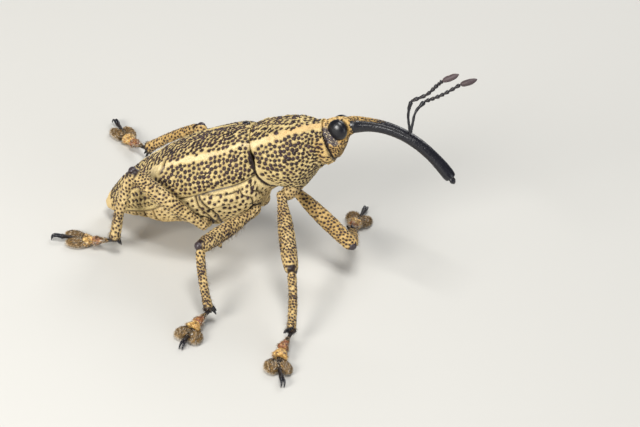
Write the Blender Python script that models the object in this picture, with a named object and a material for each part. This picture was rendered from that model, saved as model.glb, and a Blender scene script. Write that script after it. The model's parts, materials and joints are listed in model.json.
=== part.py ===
"""A large long-snouted weevil at life size, standing with its fore body raised.

Lengths are in millimetres, and MM turns them into the scene's metres where a mesh is made.
The trunk is drawn in its own axes: x runs forward from the tip of the wing cases, y to the
animal's left and z to its back. The empty body_axis carries those axes into the scene.
The legs are drawn on the floor, from their knees, ankles, foot pads and claws.
"""

import math
from functools import partial

import bmesh
import bpy
from mathutils import Matrix, Vector

MM = 0.001
GAP = 0.3  # left between two pieces that meet
SHARP_ANGLE = math.radians(40.0)

# Stance: where the tip of the wing cases is above the floor, and how the trunk is turned
APEX = Vector((-13.6, 2.15, 1.8))
HEADING = math.radians(3.0)
PITCH = math.radians(31.0)
ROLL = math.radians(-20.0)

# Trunk, along x from the tip of the wing cases
ELYTRA_BASE_X = 15.6
PROTHORAX_BACK_X = ELYTRA_BASE_X + GAP
PROTHORAX_FRONT_X = 22.3
HEAD_BACK_X = PROTHORAX_FRONT_X + GAP
HEAD_FRONT_X = 25.0
ABDOMEN_FRONT_X = 9.2
ABDOMEN_TIP_X = 0.9
SUTURE_ANGLE = math.radians(25.0)  # how far the wing cases turn under at the sides

ELYTRA_HALF_WIDTH = (
    (-0.45, 0.35), (0.0, 0.95), (1.0, 1.95), (2.0, 2.65), (4.0, 3.6), (6.0, 4.28),
    (8.0, 4.72), (10.5, 5.0), (13.0, 5.05), (14.4, 4.9), (15.2, 4.45), (15.6, 4.0),
)
ELYTRA_TOP = (
    (-0.45, -0.15), (0.0, 0.42), (1.0, 1.35), (2.0, 1.94), (4.0, 2.75), (6.0, 3.3),
    (8.0, 3.7), (10.0, 3.95), (12.0, 3.93), (14.0, 3.82), (15.1, 3.45), (15.6, 3.25),
)
ELYTRA_EDGE = (
    (-0.45, -0.55), (0.0, -0.85), (1.8, -1.1), (4.5, -1.42), (5.8, -1.2), (7.5, -1.0),
    (10.0, -1.02), (13.0, -1.08), (14.2, -0.98), (15.6, -0.65),
)
# Swellings of the wing cases: x, z, half length, height
SHOULDER_SWELLING = (14.3, 1.0, 0.9, 0.18)
REAR_SWELLING = (6.6, 1.4, 0.8, 0.28)

UNDERSIDE = (
    (0.9, -1.4), (2.3, -2.0), (3.2, -2.42), (3.9, -2.85), (4.6, -3.3), (5.6, -3.62), (6.8, -3.95),
    (8.4, -4.6), (10.0, -4.95), (12.5, -4.95), (13.8, -4.7), (14.8, -4.0), (15.6, -3.2),
)
UNDERSIDE_HALF_WIDTH = (
    (0.9, 1.5), (2.0, 2.3), (4.0, 3.2), (6.0, 3.8), (8.0, 4.2), (10.5, 4.5), (13.0, 4.5),
    (14.8, 4.1), (15.6, 3.5),
)
VENTRITE_SEAMS = (2.7, 3.6, 4.6, 6.7)
VENTRITE_STEP = 0.14
SEAM_HALF = 0.12
# Raised plates of the thorax's sides: first and last x, bottom and top z
SIDE_PLATES = ((9.7, 13.1, -2.7, -1.5), (13.6, 15.1, -3.2, -1.4))
SIDE_PLATE_LIFT = 0.16
SIDE_PLATE_SOFT = 0.15

PROTHORAX_HALF_WIDTH = (
    (15.9, 3.8), (17.2, 4.05), (18.6, 3.9), (20.0, 3.4), (21.2, 2.7), (21.8, 2.2), (22.3, 2.14),
)
PROTHORAX_TOP = (
    (15.9, 3.12), (17.2, 3.44), (18.6, 3.3), (19.8, 3.05), (21.0, 2.66), (21.8, 2.17), (22.3, 2.08),
)
PROTHORAX_UNDER = (
    (15.9, -3.2), (17.5, -3.7), (18.8, -3.7), (19.8, -3.15), (20.7, -2.5), (21.6, -2.2), (22.3, -2.0),
)

SCUTELLUM_CENTRE = Vector((15.0, 0.0, 3.5))
SCUTELLUM_SIZE = Vector((0.5, 0.45, 0.3))

# Cross sections: powers under one make them fuller than an ellipse, and a waist is where one
# is widest, as a share of the way up it
ELYTRA_POWERS = (0.9, 0.92)
ELYTRA_WAIST = 0.2
UNDERSIDE_POWER = 0.86
ROUND_POWER = 0.93
ROUND_WAIST = 0.52

# Head and snout
HEAD_HALF_WIDTH = ((22.6, 1.92), (23.1, 1.86), (23.6, 1.66), (24.1, 1.38), (24.5, 1.1), (25.0, 0.84))
HEAD_TOP = ((22.6, 1.88), (23.2, 1.92), (23.8, 1.88), (24.5, 1.68), (25.0, 1.52))
HEAD_UNDER = ((22.6, -1.9), (23.1, -1.82), (23.55, -1.4), (24.0, -0.9), (24.4, -0.32), (25.0, -0.06))
EYE_CENTRE = Vector((23.75, -1.15, 0.82))
EYE_SIZE = Vector((0.98, 0.62, 1.02))
EYE_TURN = math.radians(-14.0)  # the eyes look a little forward
SNOUT_PLACES = ((24.1, 0.9), (28.0, 0.45), (30.9, -1.7), (32.7, -6.75))
SNOUT_CURVE = tuple(Vector((x, 0.0, z)) for x, z in SNOUT_PLACES)
SNOUT_RADII = (
    (0.11, 0.79), (0.17, 0.71), (0.25, 0.63), (0.4, 0.59), (0.6, 0.57), (0.8, 0.57),
    (0.94, 0.61), (1.0, 0.52),
)
SNOUT_RINGS = 14
SNOUT_SIDES = 12
JAW_LENGTH = 0.45
JAW_RADII = ((0.0, 0.24), (0.6, 0.24), (1.0, 0.08))
JAW_ROOT_IN = 0.2
JAW_ROOTS_APART = 0.2
JAW_TIPS_APART = 0.1

# Feelers: the points that each passes through, for the right and the left one
SCAPE_POINTS = {
    "right": ((30.15, -0.35, -1.65), (30.7, -1.1, 0.42), (31.43, -1.5, 1.68)),
    "left": ((30.05, 0.35, -1.7), (30.93, 1.1, 0.08), (32.06, 1.5, 0.89)),
}
FUNICLE_POINTS = {
    "right": ((31.43, -1.5, 1.68), (33.13, -1.7, 1.95), (34.22, -1.9, 2.49), (34.93, -2.0, 2.81)),
    "left": ((32.06, 1.5, 0.89), (33.21, 1.6, 0.95), (34.33, 1.8, 1.11), (35.68, 2.0, 1.44)),
}
CLUB_POINTS = {
    "right": ((34.93, -2.0, 2.81), (35.8, -2.1, 2.91), (36.7, -2.2, 3.06)),
    "left": ((35.68, 2.0, 1.44), (36.52, 2.05, 1.45), (37.4, 2.1, 1.51)),
}
SCAPE_RADII = ((0.0, 0.26), (0.6, 0.26), (0.85, 0.3), (1.0, 0.34))
FUNICLE_BEADS = 7
BEAD_RADIUS = 0.33
BEAD_NECK = 0.26
BEAD_WIDEST = 0.6  # of the way along each bead
CLUB_RADII = ((0.0, 0.2), (0.1, 0.36), (0.3, 0.5), (0.55, 0.54), (0.8, 0.4), (0.95, 0.18), (1.0, 0.08))

# Hips, in the trunk's axes, for the right side: centre of the coxa, its half sizes, femur's start
HIPS = {
    "front": (Vector((17.6, -1.35, -3.75)), Vector((0.85, 0.75, 0.8)), Vector((16.85, -2.0, -3.6))),
    "mid": (Vector((13.7, -2.2, -4.2)), Vector((0.85, 0.8, 0.75)), Vector((13.7, -2.9, -4.55))),
    "hind": (Vector((9.2, -2.6, -4.0)), Vector((0.6, 1.5, 0.7)), Vector((9.2, -4.0, -4.3))),
}
# Legs, from the point of the floor under the tip of the wing cases: knee, ankle, foot pad, claws
LEGS = {
    "front_right": ((18.6, -8.6, 4.2), (19.9, -14.4, 1.4), (19.45, -18.7), (20.3, -21.3)),
    "mid_right": ((9.8, -9.8, 5.2), (12.0, -14.0, 1.4), (10.8, -17.05), (10.4, -19.2)),
    "hind_right": ((1.85, -5.1, 8.5), (1.5, -6.4, 1.5), (-2.1, -6.15), (-4.4, -6.7)),
    "front_left": ((23.7, -1.1, 3.6), (23.5, 4.9, 1.2), (23.9, 8.6), (24.4, 11.1)),
    "mid_left": ((9.5, 7.6, 5.3), (11.5, 11.9, 1.4), (12.8, 14.9), (13.7, 17.0)),
    "hind_left": ((6.5, 9.0, 6.35), (1.6, 10.8, 1.4), (-1.3, 14.1), (-2.7, 16.2)),
}
HIND_FEMUR_BOW = 0.35  # the hind femora curve out round the flanks
FEMUR_RADII = (
    (0.0, 0.44), (0.15, 0.5), (0.38, 0.7), (0.62, 0.84), (0.8, 0.83), (0.93, 0.76),
    (1.0, 0.66), (1.05, 0.38),
)
TOOTH_AT = 0.7
TOOTH_ROOT = 0.2
TOOTH_HEIGHT = 1.15
TOOTH_RADIUS = 0.3
TIBIA_RADII = ((0.0, 0.38), (0.12, 0.47), (0.5, 0.42), (0.88, 0.45), (1.0, 0.5))
TIBIA_BOW = 0.22
HIND_TIBIA_SHARE = 1.18  # the hind tibiae are stouter
# The spur under each ankle: down the leg and out from it, at its root, its bend and its tip
SPUR_PLACES = ((-0.25, 0.15), (0.1, 0.7), (0.41, 0.75))
SPUR_RADIUS = 0.17

# Feet: their two short segments end at a share of the way to the pads, at a height, leaning back
FOOT_JOINTS = ((0.42, 0.78, -0.35), (0.68, 0.56, -0.28))
FOOT_THROAT = (0.25, 0.42)  # where the stem meets the pads: behind their middle, height
FOOT_RADII = (
    (0.0, 0.27), (0.12, 0.27), (0.3, 0.42), (0.35, 0.27), (0.42, 0.32), (0.62, 0.5),
    (0.68, 0.3), (1.0, 0.36),
)
PAD_HALF = Vector((0.92, 0.6, 0.42))
PAD_SPREAD = 0.62
PAD_SPLAY = math.radians(14.0)
PAD_HEIGHT = 0.3
BRIDGE_HALF = Vector((0.6, 0.7, 0.3))
BRIDGE_PLACE = (0.3, 0.42)  # behind the pads' middle, height
STALK_PLACE = (0.2, 0.5)
STALK_RADII = ((0.0, 0.24), (0.9, 0.34), (1.0, 0.3))
CLAW_SPREAD = 0.42
CLAW_REACH = 1.1
CLAW_HEIGHT = 0.62
CLAW_RADIUS = 0.2
CLAW_ROOT_IN = 0.15
CLAW_ROOT_SPREAD = 0.12
CLAW_BEND = (0.9, 0.3)  # how far on and up the claws bend over
CLAW_TIP_HEIGHT = 0.1
THORN_TIP_SHARE = 0.22  # how blunt the tips of teeth, spurs and claws are

# How finely the pieces are drawn
ELYTRA_PLACES = (
    -0.45, -0.2, 0.2, 0.8, 1.5, 2.4, 3.4, 4.5, 5.4, 6.1, 6.8, 7.5, 8.6, 10.0, 11.5, 12.8, 13.6,
    14.3, 15.0, ELYTRA_BASE_X,
)
ABDOMEN_PLACES = (ABDOMEN_TIP_X, 1.3, 1.9, 5.4, 6.1, 7.4, 8.2, ABDOMEN_FRONT_X - GAP)
THORAX_PLACES = (
    ABDOMEN_FRONT_X, 9.55, 9.7, 11.2, 13.1, 13.25, 13.45, 13.6, 14.4, 15.1, 15.25, ELYTRA_BASE_X,
)
PROTHORAX_PLACES = (
    PROTHORAX_BACK_X, 16.3, 17.0, 17.8, 18.7, 19.6, 20.4, 21.0, 21.5, 21.9, PROTHORAX_FRONT_X,
)
HEAD_PLACES = (HEAD_BACK_X, 22.9, 23.3, 23.7, 24.1, 24.5, HEAD_FRONT_X)
TRUNK_SIDES = 13
PROTHORAX_SIDES = 26
HEAD_SIDES = 18
LIMB_SIDES = 8
FEMUR_RINGS = 12
TIBIA_RINGS = 8

# Finishes: colour, roughness
FINISHES = {
    "cream_scales": ((0.72, 0.58, 0.25), 0.75),
    "black_shell": ((0.012, 0.012, 0.016), 0.22),
    "eye_black": ((0.008, 0.008, 0.012), 0.08),
    "golden_scales": ((0.66, 0.42, 0.12), 0.7),
    "foot_brown": ((0.16, 0.07, 0.03), 0.6),
}


def clear_scene():
    for obj in list(bpy.data.objects):
        bpy.data.objects.remove(obj)


def finish(name):
    """The named material, made the first time that it is asked for."""
    if name in bpy.data.materials:
        return bpy.data.materials[name]
    colour, roughness = FINISHES[name]
    material = bpy.data.materials.new(name)
    material.use_nodes = True
    shader = material.node_tree.nodes["Principled BSDF"]
    shader.inputs["Base Color"].default_value = (*colour, 1.0)
    shader.inputs["Roughness"].default_value = roughness
    shader.inputs["Metallic"].default_value = 0.0
    material.diffuse_color = (*colour, 1.0)
    return material


def read_profile(points, at):
    """The height at a place along a named outline, on a smooth curve through its points."""
    if at <= points[0][0]:
        return points[0][1]
    if at >= points[-1][0]:
        return points[-1][1]
    i = max(k for k in range(len(points) - 1) if points[k][0] <= at)
    (x0, y0), (x1, y1) = points[i], points[i + 1]
    step = (y1 - y0) / (x1 - x0)
    before = (y0 - points[i - 1][1]) / (x0 - points[i - 1][0]) if i else step
    after = (points[i + 2][1] - y1) / (points[i + 2][0] - x1) if i + 2 < len(points) else step
    slope0 = 0.5 * (before + step) if before * step > 0 else 0.0
    slope1 = 0.5 * (after + step) if after * step > 0 else 0.0
    if not i:
        slope0 = step
    if i + 2 >= len(points):
        slope1 = step
    u = (at - x0) / (x1 - x0)
    width = x1 - x0
    return (
        y0 * (1 + 2 * u) * (1 - u) ** 2
        + y1 * u * u * (3 - 2 * u)
        + width * slope0 * u * (1 - u) ** 2
        - width * slope1 * u * u * (1 - u)
    )


def plateau(value, low, high, soft):
    """One between low and high, falling to nothing over the soft width outside them."""
    rise = min(1.0, max(0.0, (value - low) / soft + 1.0))
    fall = min(1.0, max(0.0, (high - value) / soft + 1.0))
    return rise * fall


def body_axes():
    """The empty whose axes the trunk is drawn in."""
    empty = bpy.data.objects.new("body_axis", None)
    bpy.context.scene.collection.objects.link(empty)
    empty.matrix_world = trunk_matrix()
    return empty


def trunk_matrix():
    """The trunk's axes in the scene: turned on the floor, then raised, then rolled."""
    matrix = Matrix.Translation(APEX * MM)
    for angle, axis in ((HEADING, "Z"), (-PITCH, "Y"), (ROLL, "X")):
        matrix = matrix @ Matrix.Rotation(angle, 4, axis)
    return matrix


def to_floor_axes(point):
    """A point of the trunk, in millimetres of the scene."""
    return trunk_matrix() @ (Vector(point) * MM) / MM


def rest_of_leg(point, height=None):
    """A point of a leg, from the named table to millimetres of the scene."""
    z = point[2] if height is None else height
    return Vector((APEX.x + point[0], APEX.y + point[1], z))


def add_object(name, bm, material, parent=None, origin=None):
    """Closes a mesh's work: outward normals, smooth shading, its object, place and material."""
    bmesh.ops.recalc_face_normals(bm, faces=bm.faces)
    start = origin or Vector((0, 0, 0))
    for vert in bm.verts:
        vert.co = (vert.co - start) * MM
    mesh = bpy.data.meshes.new(name)
    bm.to_mesh(mesh)
    bm.free()
    mesh.shade_smooth()
    mesh.set_sharp_from_angle(angle=SHARP_ANGLE)
    mesh.materials.append(finish(material))
    obj = bpy.data.objects.new(name, mesh)
    obj.location = start * MM
    obj.parent = parent
    bpy.context.scene.collection.objects.link(obj)
    bpy.context.view_layer.update()
    return obj


def loft(rings):
    """A closed skin through rings of equally many points, capped at both ends."""
    bm = bmesh.new()
    rows = [[bm.verts.new(point) for point in ring] for ring in rings]
    count = len(rows[0])
    for near, far in zip(rows, rows[1:]):
        for i in range(count):
            j = (i + 1) % count
            bm.faces.new((near[i], near[j], far[j], far[i]))
    for row in (rows[0], rows[-1]):
        middle = bm.verts.new(sum((vert.co for vert in row), Vector()) / count)
        for i in range(count):
            bm.faces.new((row[i], row[(i + 1) % count], middle))
    return bm


def add_ball(bm, centre, half, turn=None, segments=10, rows=7):
    """An ellipsoid, turned about its centre."""
    matrix = Matrix.Translation(centre)
    if turn is not None:
        matrix = matrix @ turn
    matrix = matrix @ Matrix.Diagonal((*half, 1.0))
    bmesh.ops.create_uvsphere(bm, u_segments=segments, v_segments=rows, radius=1.0, matrix=matrix)


def polyline(points, at):
    """A point on the smooth curve through a few points, at a share of the way along it."""
    points = [Vector(point) for point in points]
    place = at * (len(points) - 1)
    i = min(int(max(place, 0.0)), len(points) - 2)
    u = place - i
    a, b = points[i], points[i + 1]
    before = points[i - 1] if i else a - (b - a)
    after = points[i + 2] if i + 2 < len(points) else b + (b - a)
    slope_a, slope_b = (b - before) / 2, (after - a) / 2
    if not 0.0 <= u <= 1.0:
        return a + (b - a) * u
    return (
        a * (1 + 2 * u) * (1 - u) ** 2
        + slope_a * u * (1 - u) ** 2
        + b * u * u * (3 - 2 * u)
        - slope_b * u * u * (1 - u)
    )


def straight(start, end):
    """The middle line of a straight limb, as a function of the share of the way along it."""
    def place(share):
        return start.lerp(end, share)

    return place


def bezier(points, at):
    """A point on a curve with two end points and two handles."""
    a, b, c, d = points
    back = 1 - at
    return a * back**3 + b * 3 * back**2 * at + c * 3 * back * at**2 + d * at**3


def tube(place, radii, sides=LIMB_SIDES, grow=0.0):
    """A round limb along place(share), its radius given at each named share."""
    rings = []
    side = None
    for share, radius in radii:
        centre = place(share)
        along = (place(share + 0.01) - place(share - 0.01)).normalized()
        if side is None:
            side = along.orthogonal().normalized()
        side = (side - along * side.dot(along)).normalized()
        other = along.cross(side)
        if grow and share == radii[0][0]:
            centre = centre - along * grow
        if grow and share == radii[-1][0]:
            centre = centre + along * grow
        wide = radius + grow
        rings.append([
            centre + (side * math.cos(turn) + other * math.sin(turn)) * wide
            for turn in (2 * math.pi * i / sides for i in range(sides))
        ])
    return loft(rings)


def finer(points, count):
    """A named outline read at evenly spaced places, so that a limb bends smoothly."""
    first, last = points[0][0], points[-1][0]
    places = [first + (last - first) * i / (count - 1) for i in range(count)]
    return [(place, read_profile(points, place)) for place in places]


def reach(body):
    """How far a set of vertices reaches, from corner to corner."""
    columns = list(zip(*(vert.co for vert in body)))
    return math.dist([min(column) for column in columns], [max(column) for column in columns])


def largest_body(mesh):
    """Keeps only the largest closed surface of a mesh."""
    bm = bmesh.new()
    bm.from_mesh(mesh)
    seen = set()
    bodies = []
    for seed in bm.verts:
        if seed in seen:
            continue
        body, edge = {seed}, [seed]
        while edge:
            for link in edge.pop().link_edges:
                for vert in link.verts:
                    if vert not in body:
                        body.add(vert)
                        edge.append(vert)
        seen |= body
        bodies.append(body)
    if len(bodies) > 1:
        keep = max(bodies, key=reach)
        bmesh.ops.delete(bm, geom=[vert for vert in bm.verts if vert not in keep], context="VERTS")
    bm.to_mesh(mesh)
    bm.free()


def grown(half):
    """Half sizes with the gap added all round."""
    return half + Vector((GAP, GAP, GAP))


def grown_rings(rings):
    """Rings pushed out from their middles by a little over the gap, for a cutter."""
    wider = []
    for ring in rings:
        middle = sum(ring, Vector()) / len(ring)
        wider.append([point + (point - middle).normalized() * GAP * 1.15 for point in ring])
    return wider


def power(value, exponent):
    """A signed power, which makes a cross section fuller than an ellipse."""
    return math.copysign(abs(value) ** exponent, value)


def apply_modifiers(obj):
    """Turns what an object's modifiers make into its own mesh."""
    bpy.context.view_layer.update()
    graph = bpy.context.evaluated_depsgraph_get()
    mesh = bpy.data.meshes.new_from_object(obj.evaluated_get(graph))
    obj.modifiers.clear()
    old = obj.data
    obj.data = mesh
    bpy.data.meshes.remove(old)
    largest_body(mesh)
    mesh.name = obj.name


def join_pieces(obj, pieces):
    """Unites closed pieces with an object, in one Boolean over a collection of them."""
    group = bpy.data.collections.new(obj.name + "_pieces")
    bpy.context.scene.collection.children.link(group)
    for piece in pieces:
        bpy.context.scene.collection.objects.unlink(piece)
        group.objects.link(piece)
    union = obj.modifiers.new("Join pieces", "BOOLEAN")
    union.operation = "UNION"
    union.operand_type = "COLLECTION"
    union.collection = group
    union.solver = "EXACT"
    apply_modifiers(obj)
    for piece in pieces:
        bpy.data.objects.remove(piece)
    bpy.data.collections.remove(group)


def cut(obj, cutter, solver="EXACT"):
    """Takes the cutter's room out of an object. The cutter stays until its maker removes it."""
    take = obj.modifiers.new("Clear " + cutter.name, "BOOLEAN")
    take.operation = "DIFFERENCE"
    take.object = cutter
    take.solver = solver
    apply_modifiers(obj)


def add_cutter(name, bm, parent=None):
    """A shape that only cuts others."""
    obj = add_object(name, bm, "black_shell", parent)
    obj.hide_render = True
    obj.display_type = "WIRE"
    return obj


def elytron_ring(x, side):
    """One wing case cut across: over the back from the seam to the edge, then straight back under."""
    half = read_profile(ELYTRA_HALF_WIDTH, x)
    top = read_profile(ELYTRA_TOP, x)
    edge = read_profile(ELYTRA_EDGE, x)
    waist = edge + ELYTRA_WAIST * (top - edge)
    side_power, back_power = ELYTRA_POWERS
    points = []
    for i in range(TRUNK_SIDES + 1):
        turn = math.pi / 2 - (math.pi / 2 + SUTURE_ANGLE) * i / TRUNK_SIDES
        y = half * power(math.cos(turn), side_power)
        if turn >= 0:
            z = waist + (top - waist) * power(math.sin(turn), back_power)
        else:
            z = waist + (waist - edge) * math.sin(turn) / math.sin(SUTURE_ANGLE)
        out = Vector((0.0, math.cos(turn), math.sin(turn)))
        for centre_x, centre_z, reach, height in (SHOULDER_SWELLING, REAR_SWELLING):
            away = ((x - centre_x) / reach) ** 2 + ((z - centre_z) / reach) ** 2
            y += out.y * height * math.exp(-away)
            z += out.z * height * math.exp(-away)
        points.append(Vector((x, side * max(y, GAP / 2), z)))
    lip = points[-1]
    seam = Vector((x, side * GAP / 2, lip.z))
    return points + [(lip + seam) / 2, seam]


def add_elytra(parent):
    """The two wing cases, parted by a straight seam."""
    socket = bmesh.new()
    add_ball(socket, SCUTELLUM_CENTRE, grown(SCUTELLUM_SIZE))
    cutter = add_cutter("scutellum_room", socket, parent)
    for name, side in (("left", 1), ("right", -1)):
        bm = loft([elytron_ring(x, side) for x in ELYTRA_PLACES])
        cut(add_object("elytron_" + name, bm, "cream_scales", parent), cutter)
    bpy.data.objects.remove(cutter)
    bm = bmesh.new()
    add_ball(bm, SCUTELLUM_CENTRE, SCUTELLUM_SIZE)
    add_object("scutellum", bm, "black_shell", parent)


def underside_ring(x):
    """The body below the wing cases cut across, with its seams and raised side plates."""
    half = read_profile(UNDERSIDE_HALF_WIDTH, x)
    low = read_profile(UNDERSIDE, x)
    roof = read_profile(ELYTRA_EDGE, x) - GAP
    shrink = 0.0
    for seam in VENTRITE_SEAMS:
        shrink = max(shrink, 1.0 - abs(x - seam) / SEAM_HALF)
    count = 2 * TRUNK_SIDES
    points = []
    for i in range(count + 1):
        turn = math.pi * i / count
        y = half * power(math.cos(turn), UNDERSIDE_POWER)
        z = roof - (roof - low) * abs(power(math.sin(turn), UNDERSIDE_POWER))
        lift = -VENTRITE_STEP * shrink * math.sin(turn)
        for first, last, bottom, top in SIDE_PLATES:
            inside = plateau(x, first, last, SIDE_PLATE_SOFT) * plateau(z, bottom, top, SIDE_PLATE_SOFT)
            lift += SIDE_PLATE_LIFT * inside
        out = Vector((0.0, math.cos(turn), -math.sin(turn)))
        points.append(Vector((x, y, z)) + out * lift)
    return points


def add_underside(parent):
    """The abdomen with its seams, and behind the forelegs the thorax with its side plates."""
    places = list(ABDOMEN_PLACES)
    for seam in VENTRITE_SEAMS:
        places += [seam - SEAM_HALF, seam, seam + SEAM_HALF]
    abdomen = loft([underside_ring(x) for x in sorted(places)])
    add_object("abdomen", abdomen, "cream_scales", parent)
    thorax = loft([underside_ring(x) for x in THORAX_PLACES])
    add_object("thorax", thorax, "cream_scales", parent)


def round_ring(x, half_width, top, under, sides):
    """A closed ring with its own half width, top and underside at x."""
    half = read_profile(half_width, x)
    high = read_profile(top, x)
    low = read_profile(under, x)
    middle = low + ROUND_WAIST * (high - low)
    ring = []
    for i in range(sides):
        turn = 2 * math.pi * i / sides
        room = high - middle if math.sin(turn) > 0 else middle - low
        y = half * power(math.cos(turn), ROUND_POWER)
        ring.append(Vector((x, y, middle + room * power(math.sin(turn), ROUND_POWER))))
    return ring


def prothorax_rings():
    """The fore body cut across at each of its places."""
    outline = (PROTHORAX_HALF_WIDTH, PROTHORAX_TOP, PROTHORAX_UNDER, PROTHORAX_SIDES)
    return [round_ring(x, *outline) for x in PROTHORAX_PLACES]


def add_prothorax(parent):
    """The fore body, one shell all round, with a low collar at its front."""
    add_object("prothorax", loft(prothorax_rings()), "cream_scales", parent)


def add_head(parent):
    """The head, with a shallow socket for each eye, and the eyes."""
    rings = [round_ring(x, HEAD_HALF_WIDTH, HEAD_TOP, HEAD_UNDER, HEAD_SIDES) for x in HEAD_PLACES]
    head = add_object("head", loft(rings), "golden_scales", parent)
    for name, side in (("left", -1), ("right", 1)):
        centre = Vector((EYE_CENTRE.x, EYE_CENTRE.y * side, EYE_CENTRE.z))
        turn = Matrix.Rotation(EYE_TURN * side, 4, "Z")
        socket = bmesh.new()
        add_ball(socket, centre, grown(EYE_SIZE), turn)
        cutter = add_cutter("eye_room", socket, parent)
        cut(head, cutter)
        bpy.data.objects.remove(cutter)
        eye = bmesh.new()
        add_ball(eye, centre, EYE_SIZE, turn, segments=14, rows=9)
        add_object("eye_" + name, eye, "eye_black", parent)


def snout_tube(grow=0.0):
    """The snout's own skin, or the same skin pushed out."""
    return tube(partial(bezier, SNOUT_CURVE), finer(SNOUT_RADII, SNOUT_RINGS), SNOUT_SIDES, grow)


def add_snout(parent):
    """The long curved snout, with the two jaws fused at its tip."""
    snout = add_object("rostrum", snout_tube(), "black_shell", parent)
    tip = SNOUT_CURVE[-1]
    along = (tip - SNOUT_CURVE[-2]).normalized()
    jaws = []
    for side in (-1, 1):
        start = tip - along * JAW_ROOT_IN + Vector((0, side * JAW_ROOTS_APART, 0))
        end = tip + along * JAW_LENGTH + Vector((0, side * JAW_TIPS_APART, 0))
        jaws.append(add_object("jaw", tube(straight(start, end), JAW_RADII, 6), "black_shell", parent))
    join_pieces(snout, jaws)


def add_feelers(parent):
    """Each elbowed feeler: the long scape, then the funicle of beads, and the club at its end."""
    beads = []
    for i in range(FUNICLE_BEADS):
        beads += [(i / FUNICLE_BEADS, BEAD_NECK), ((i + BEAD_WIDEST) / FUNICLE_BEADS, BEAD_RADIUS)]
    beads.append((1.0, BEAD_NECK))
    room = add_cutter("snout_room", snout_tube(GAP), parent)
    for side in ("right", "left"):
        pieces = []
        for name, points, radii in (
            ("scape", SCAPE_POINTS[side], finer(SCAPE_RADII, 7)),
            ("funicle", FUNICLE_POINTS[side], beads),
            ("club", CLUB_POINTS[side], finer(CLUB_RADII, 9)),
        ):
            pieces.append(add_object(name, tube(partial(polyline, points), radii), "black_shell", parent))
        scape = pieces.pop(0)
        scape.name = "antenna_" + side
        cut(scape, room)
        join_pieces(scape, pieces)
    bpy.data.objects.remove(room)


def hip(leg):
    """The coxa's centre, its half sizes and the femur's start, on the side that the leg is on."""
    pair, side = leg.split("_")
    centre, half, start = HIPS[pair]
    if side == "right":
        return centre, half, start
    flip = Vector((1, -1, 1))
    return centre * flip, half, start * flip


def add_hip_room(leg, parent):
    """A cutter a little larger than a coxa."""
    centre, half, _ = hip(leg)
    socket = bmesh.new()
    add_ball(socket, centre, grown(half), segments=12, rows=8)
    return add_cutter("hip_room", socket, parent)


def add_coxae(parent):
    """The hip joints, each in a socket of the body that carries it."""
    carriers = {"front": ("prothorax",), "mid": ("thorax",), "hind": ("thorax", "abdomen")}
    for leg in LEGS:
        centre, half, _ = hip(leg)
        room = add_hip_room(leg, parent)
        for name in carriers[leg.split("_")[0]]:
            cut(bpy.data.objects[name], room, "MANIFOLD")
        bpy.data.objects.remove(room)
        coxa = bmesh.new()
        add_ball(coxa, centre, half)
        add_object("coxa_" + leg, coxa, "golden_scales", parent)


def trunk_rooms(parent):
    """Cutters a little larger than the hind body and the fore body, to keep the legs clear of both."""
    rings = []
    for x in ELYTRA_PLACES:
        above = elytron_ring(x, 1)[:TRUNK_SIDES]
        below = underside_ring(max(x, ABDOMEN_TIP_X))[:TRUNK_SIDES + 1]
        half = above + [Vector((x, point.y, point.z)) for point in below]
        mirrored = [Vector((x, -point.y, point.z)) for point in reversed(half[1:-1])]
        rings.append(half + mirrored)
    hind = add_cutter("hind_body_room", loft(grown_rings(rings)), parent)
    fore = add_cutter("fore_body_room", loft(grown_rings(prothorax_rings())), parent)
    return hind, fore


def thorn(start, end, radius, bend=None):
    """A tapered tooth or claw from start to end, bent towards a point if one is given."""
    middle = bend or (start + end) / 2

    def place(share):
        return start * (1 - share) ** 2 + middle * 2 * share * (1 - share) + end * share**2

    steps = 4 if bend else 2
    taper = (1 - THORN_TIP_SHARE) / steps
    return tube(place, [(i / steps, radius * (1 - taper * i)) for i in range(steps + 1)], 5)


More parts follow.
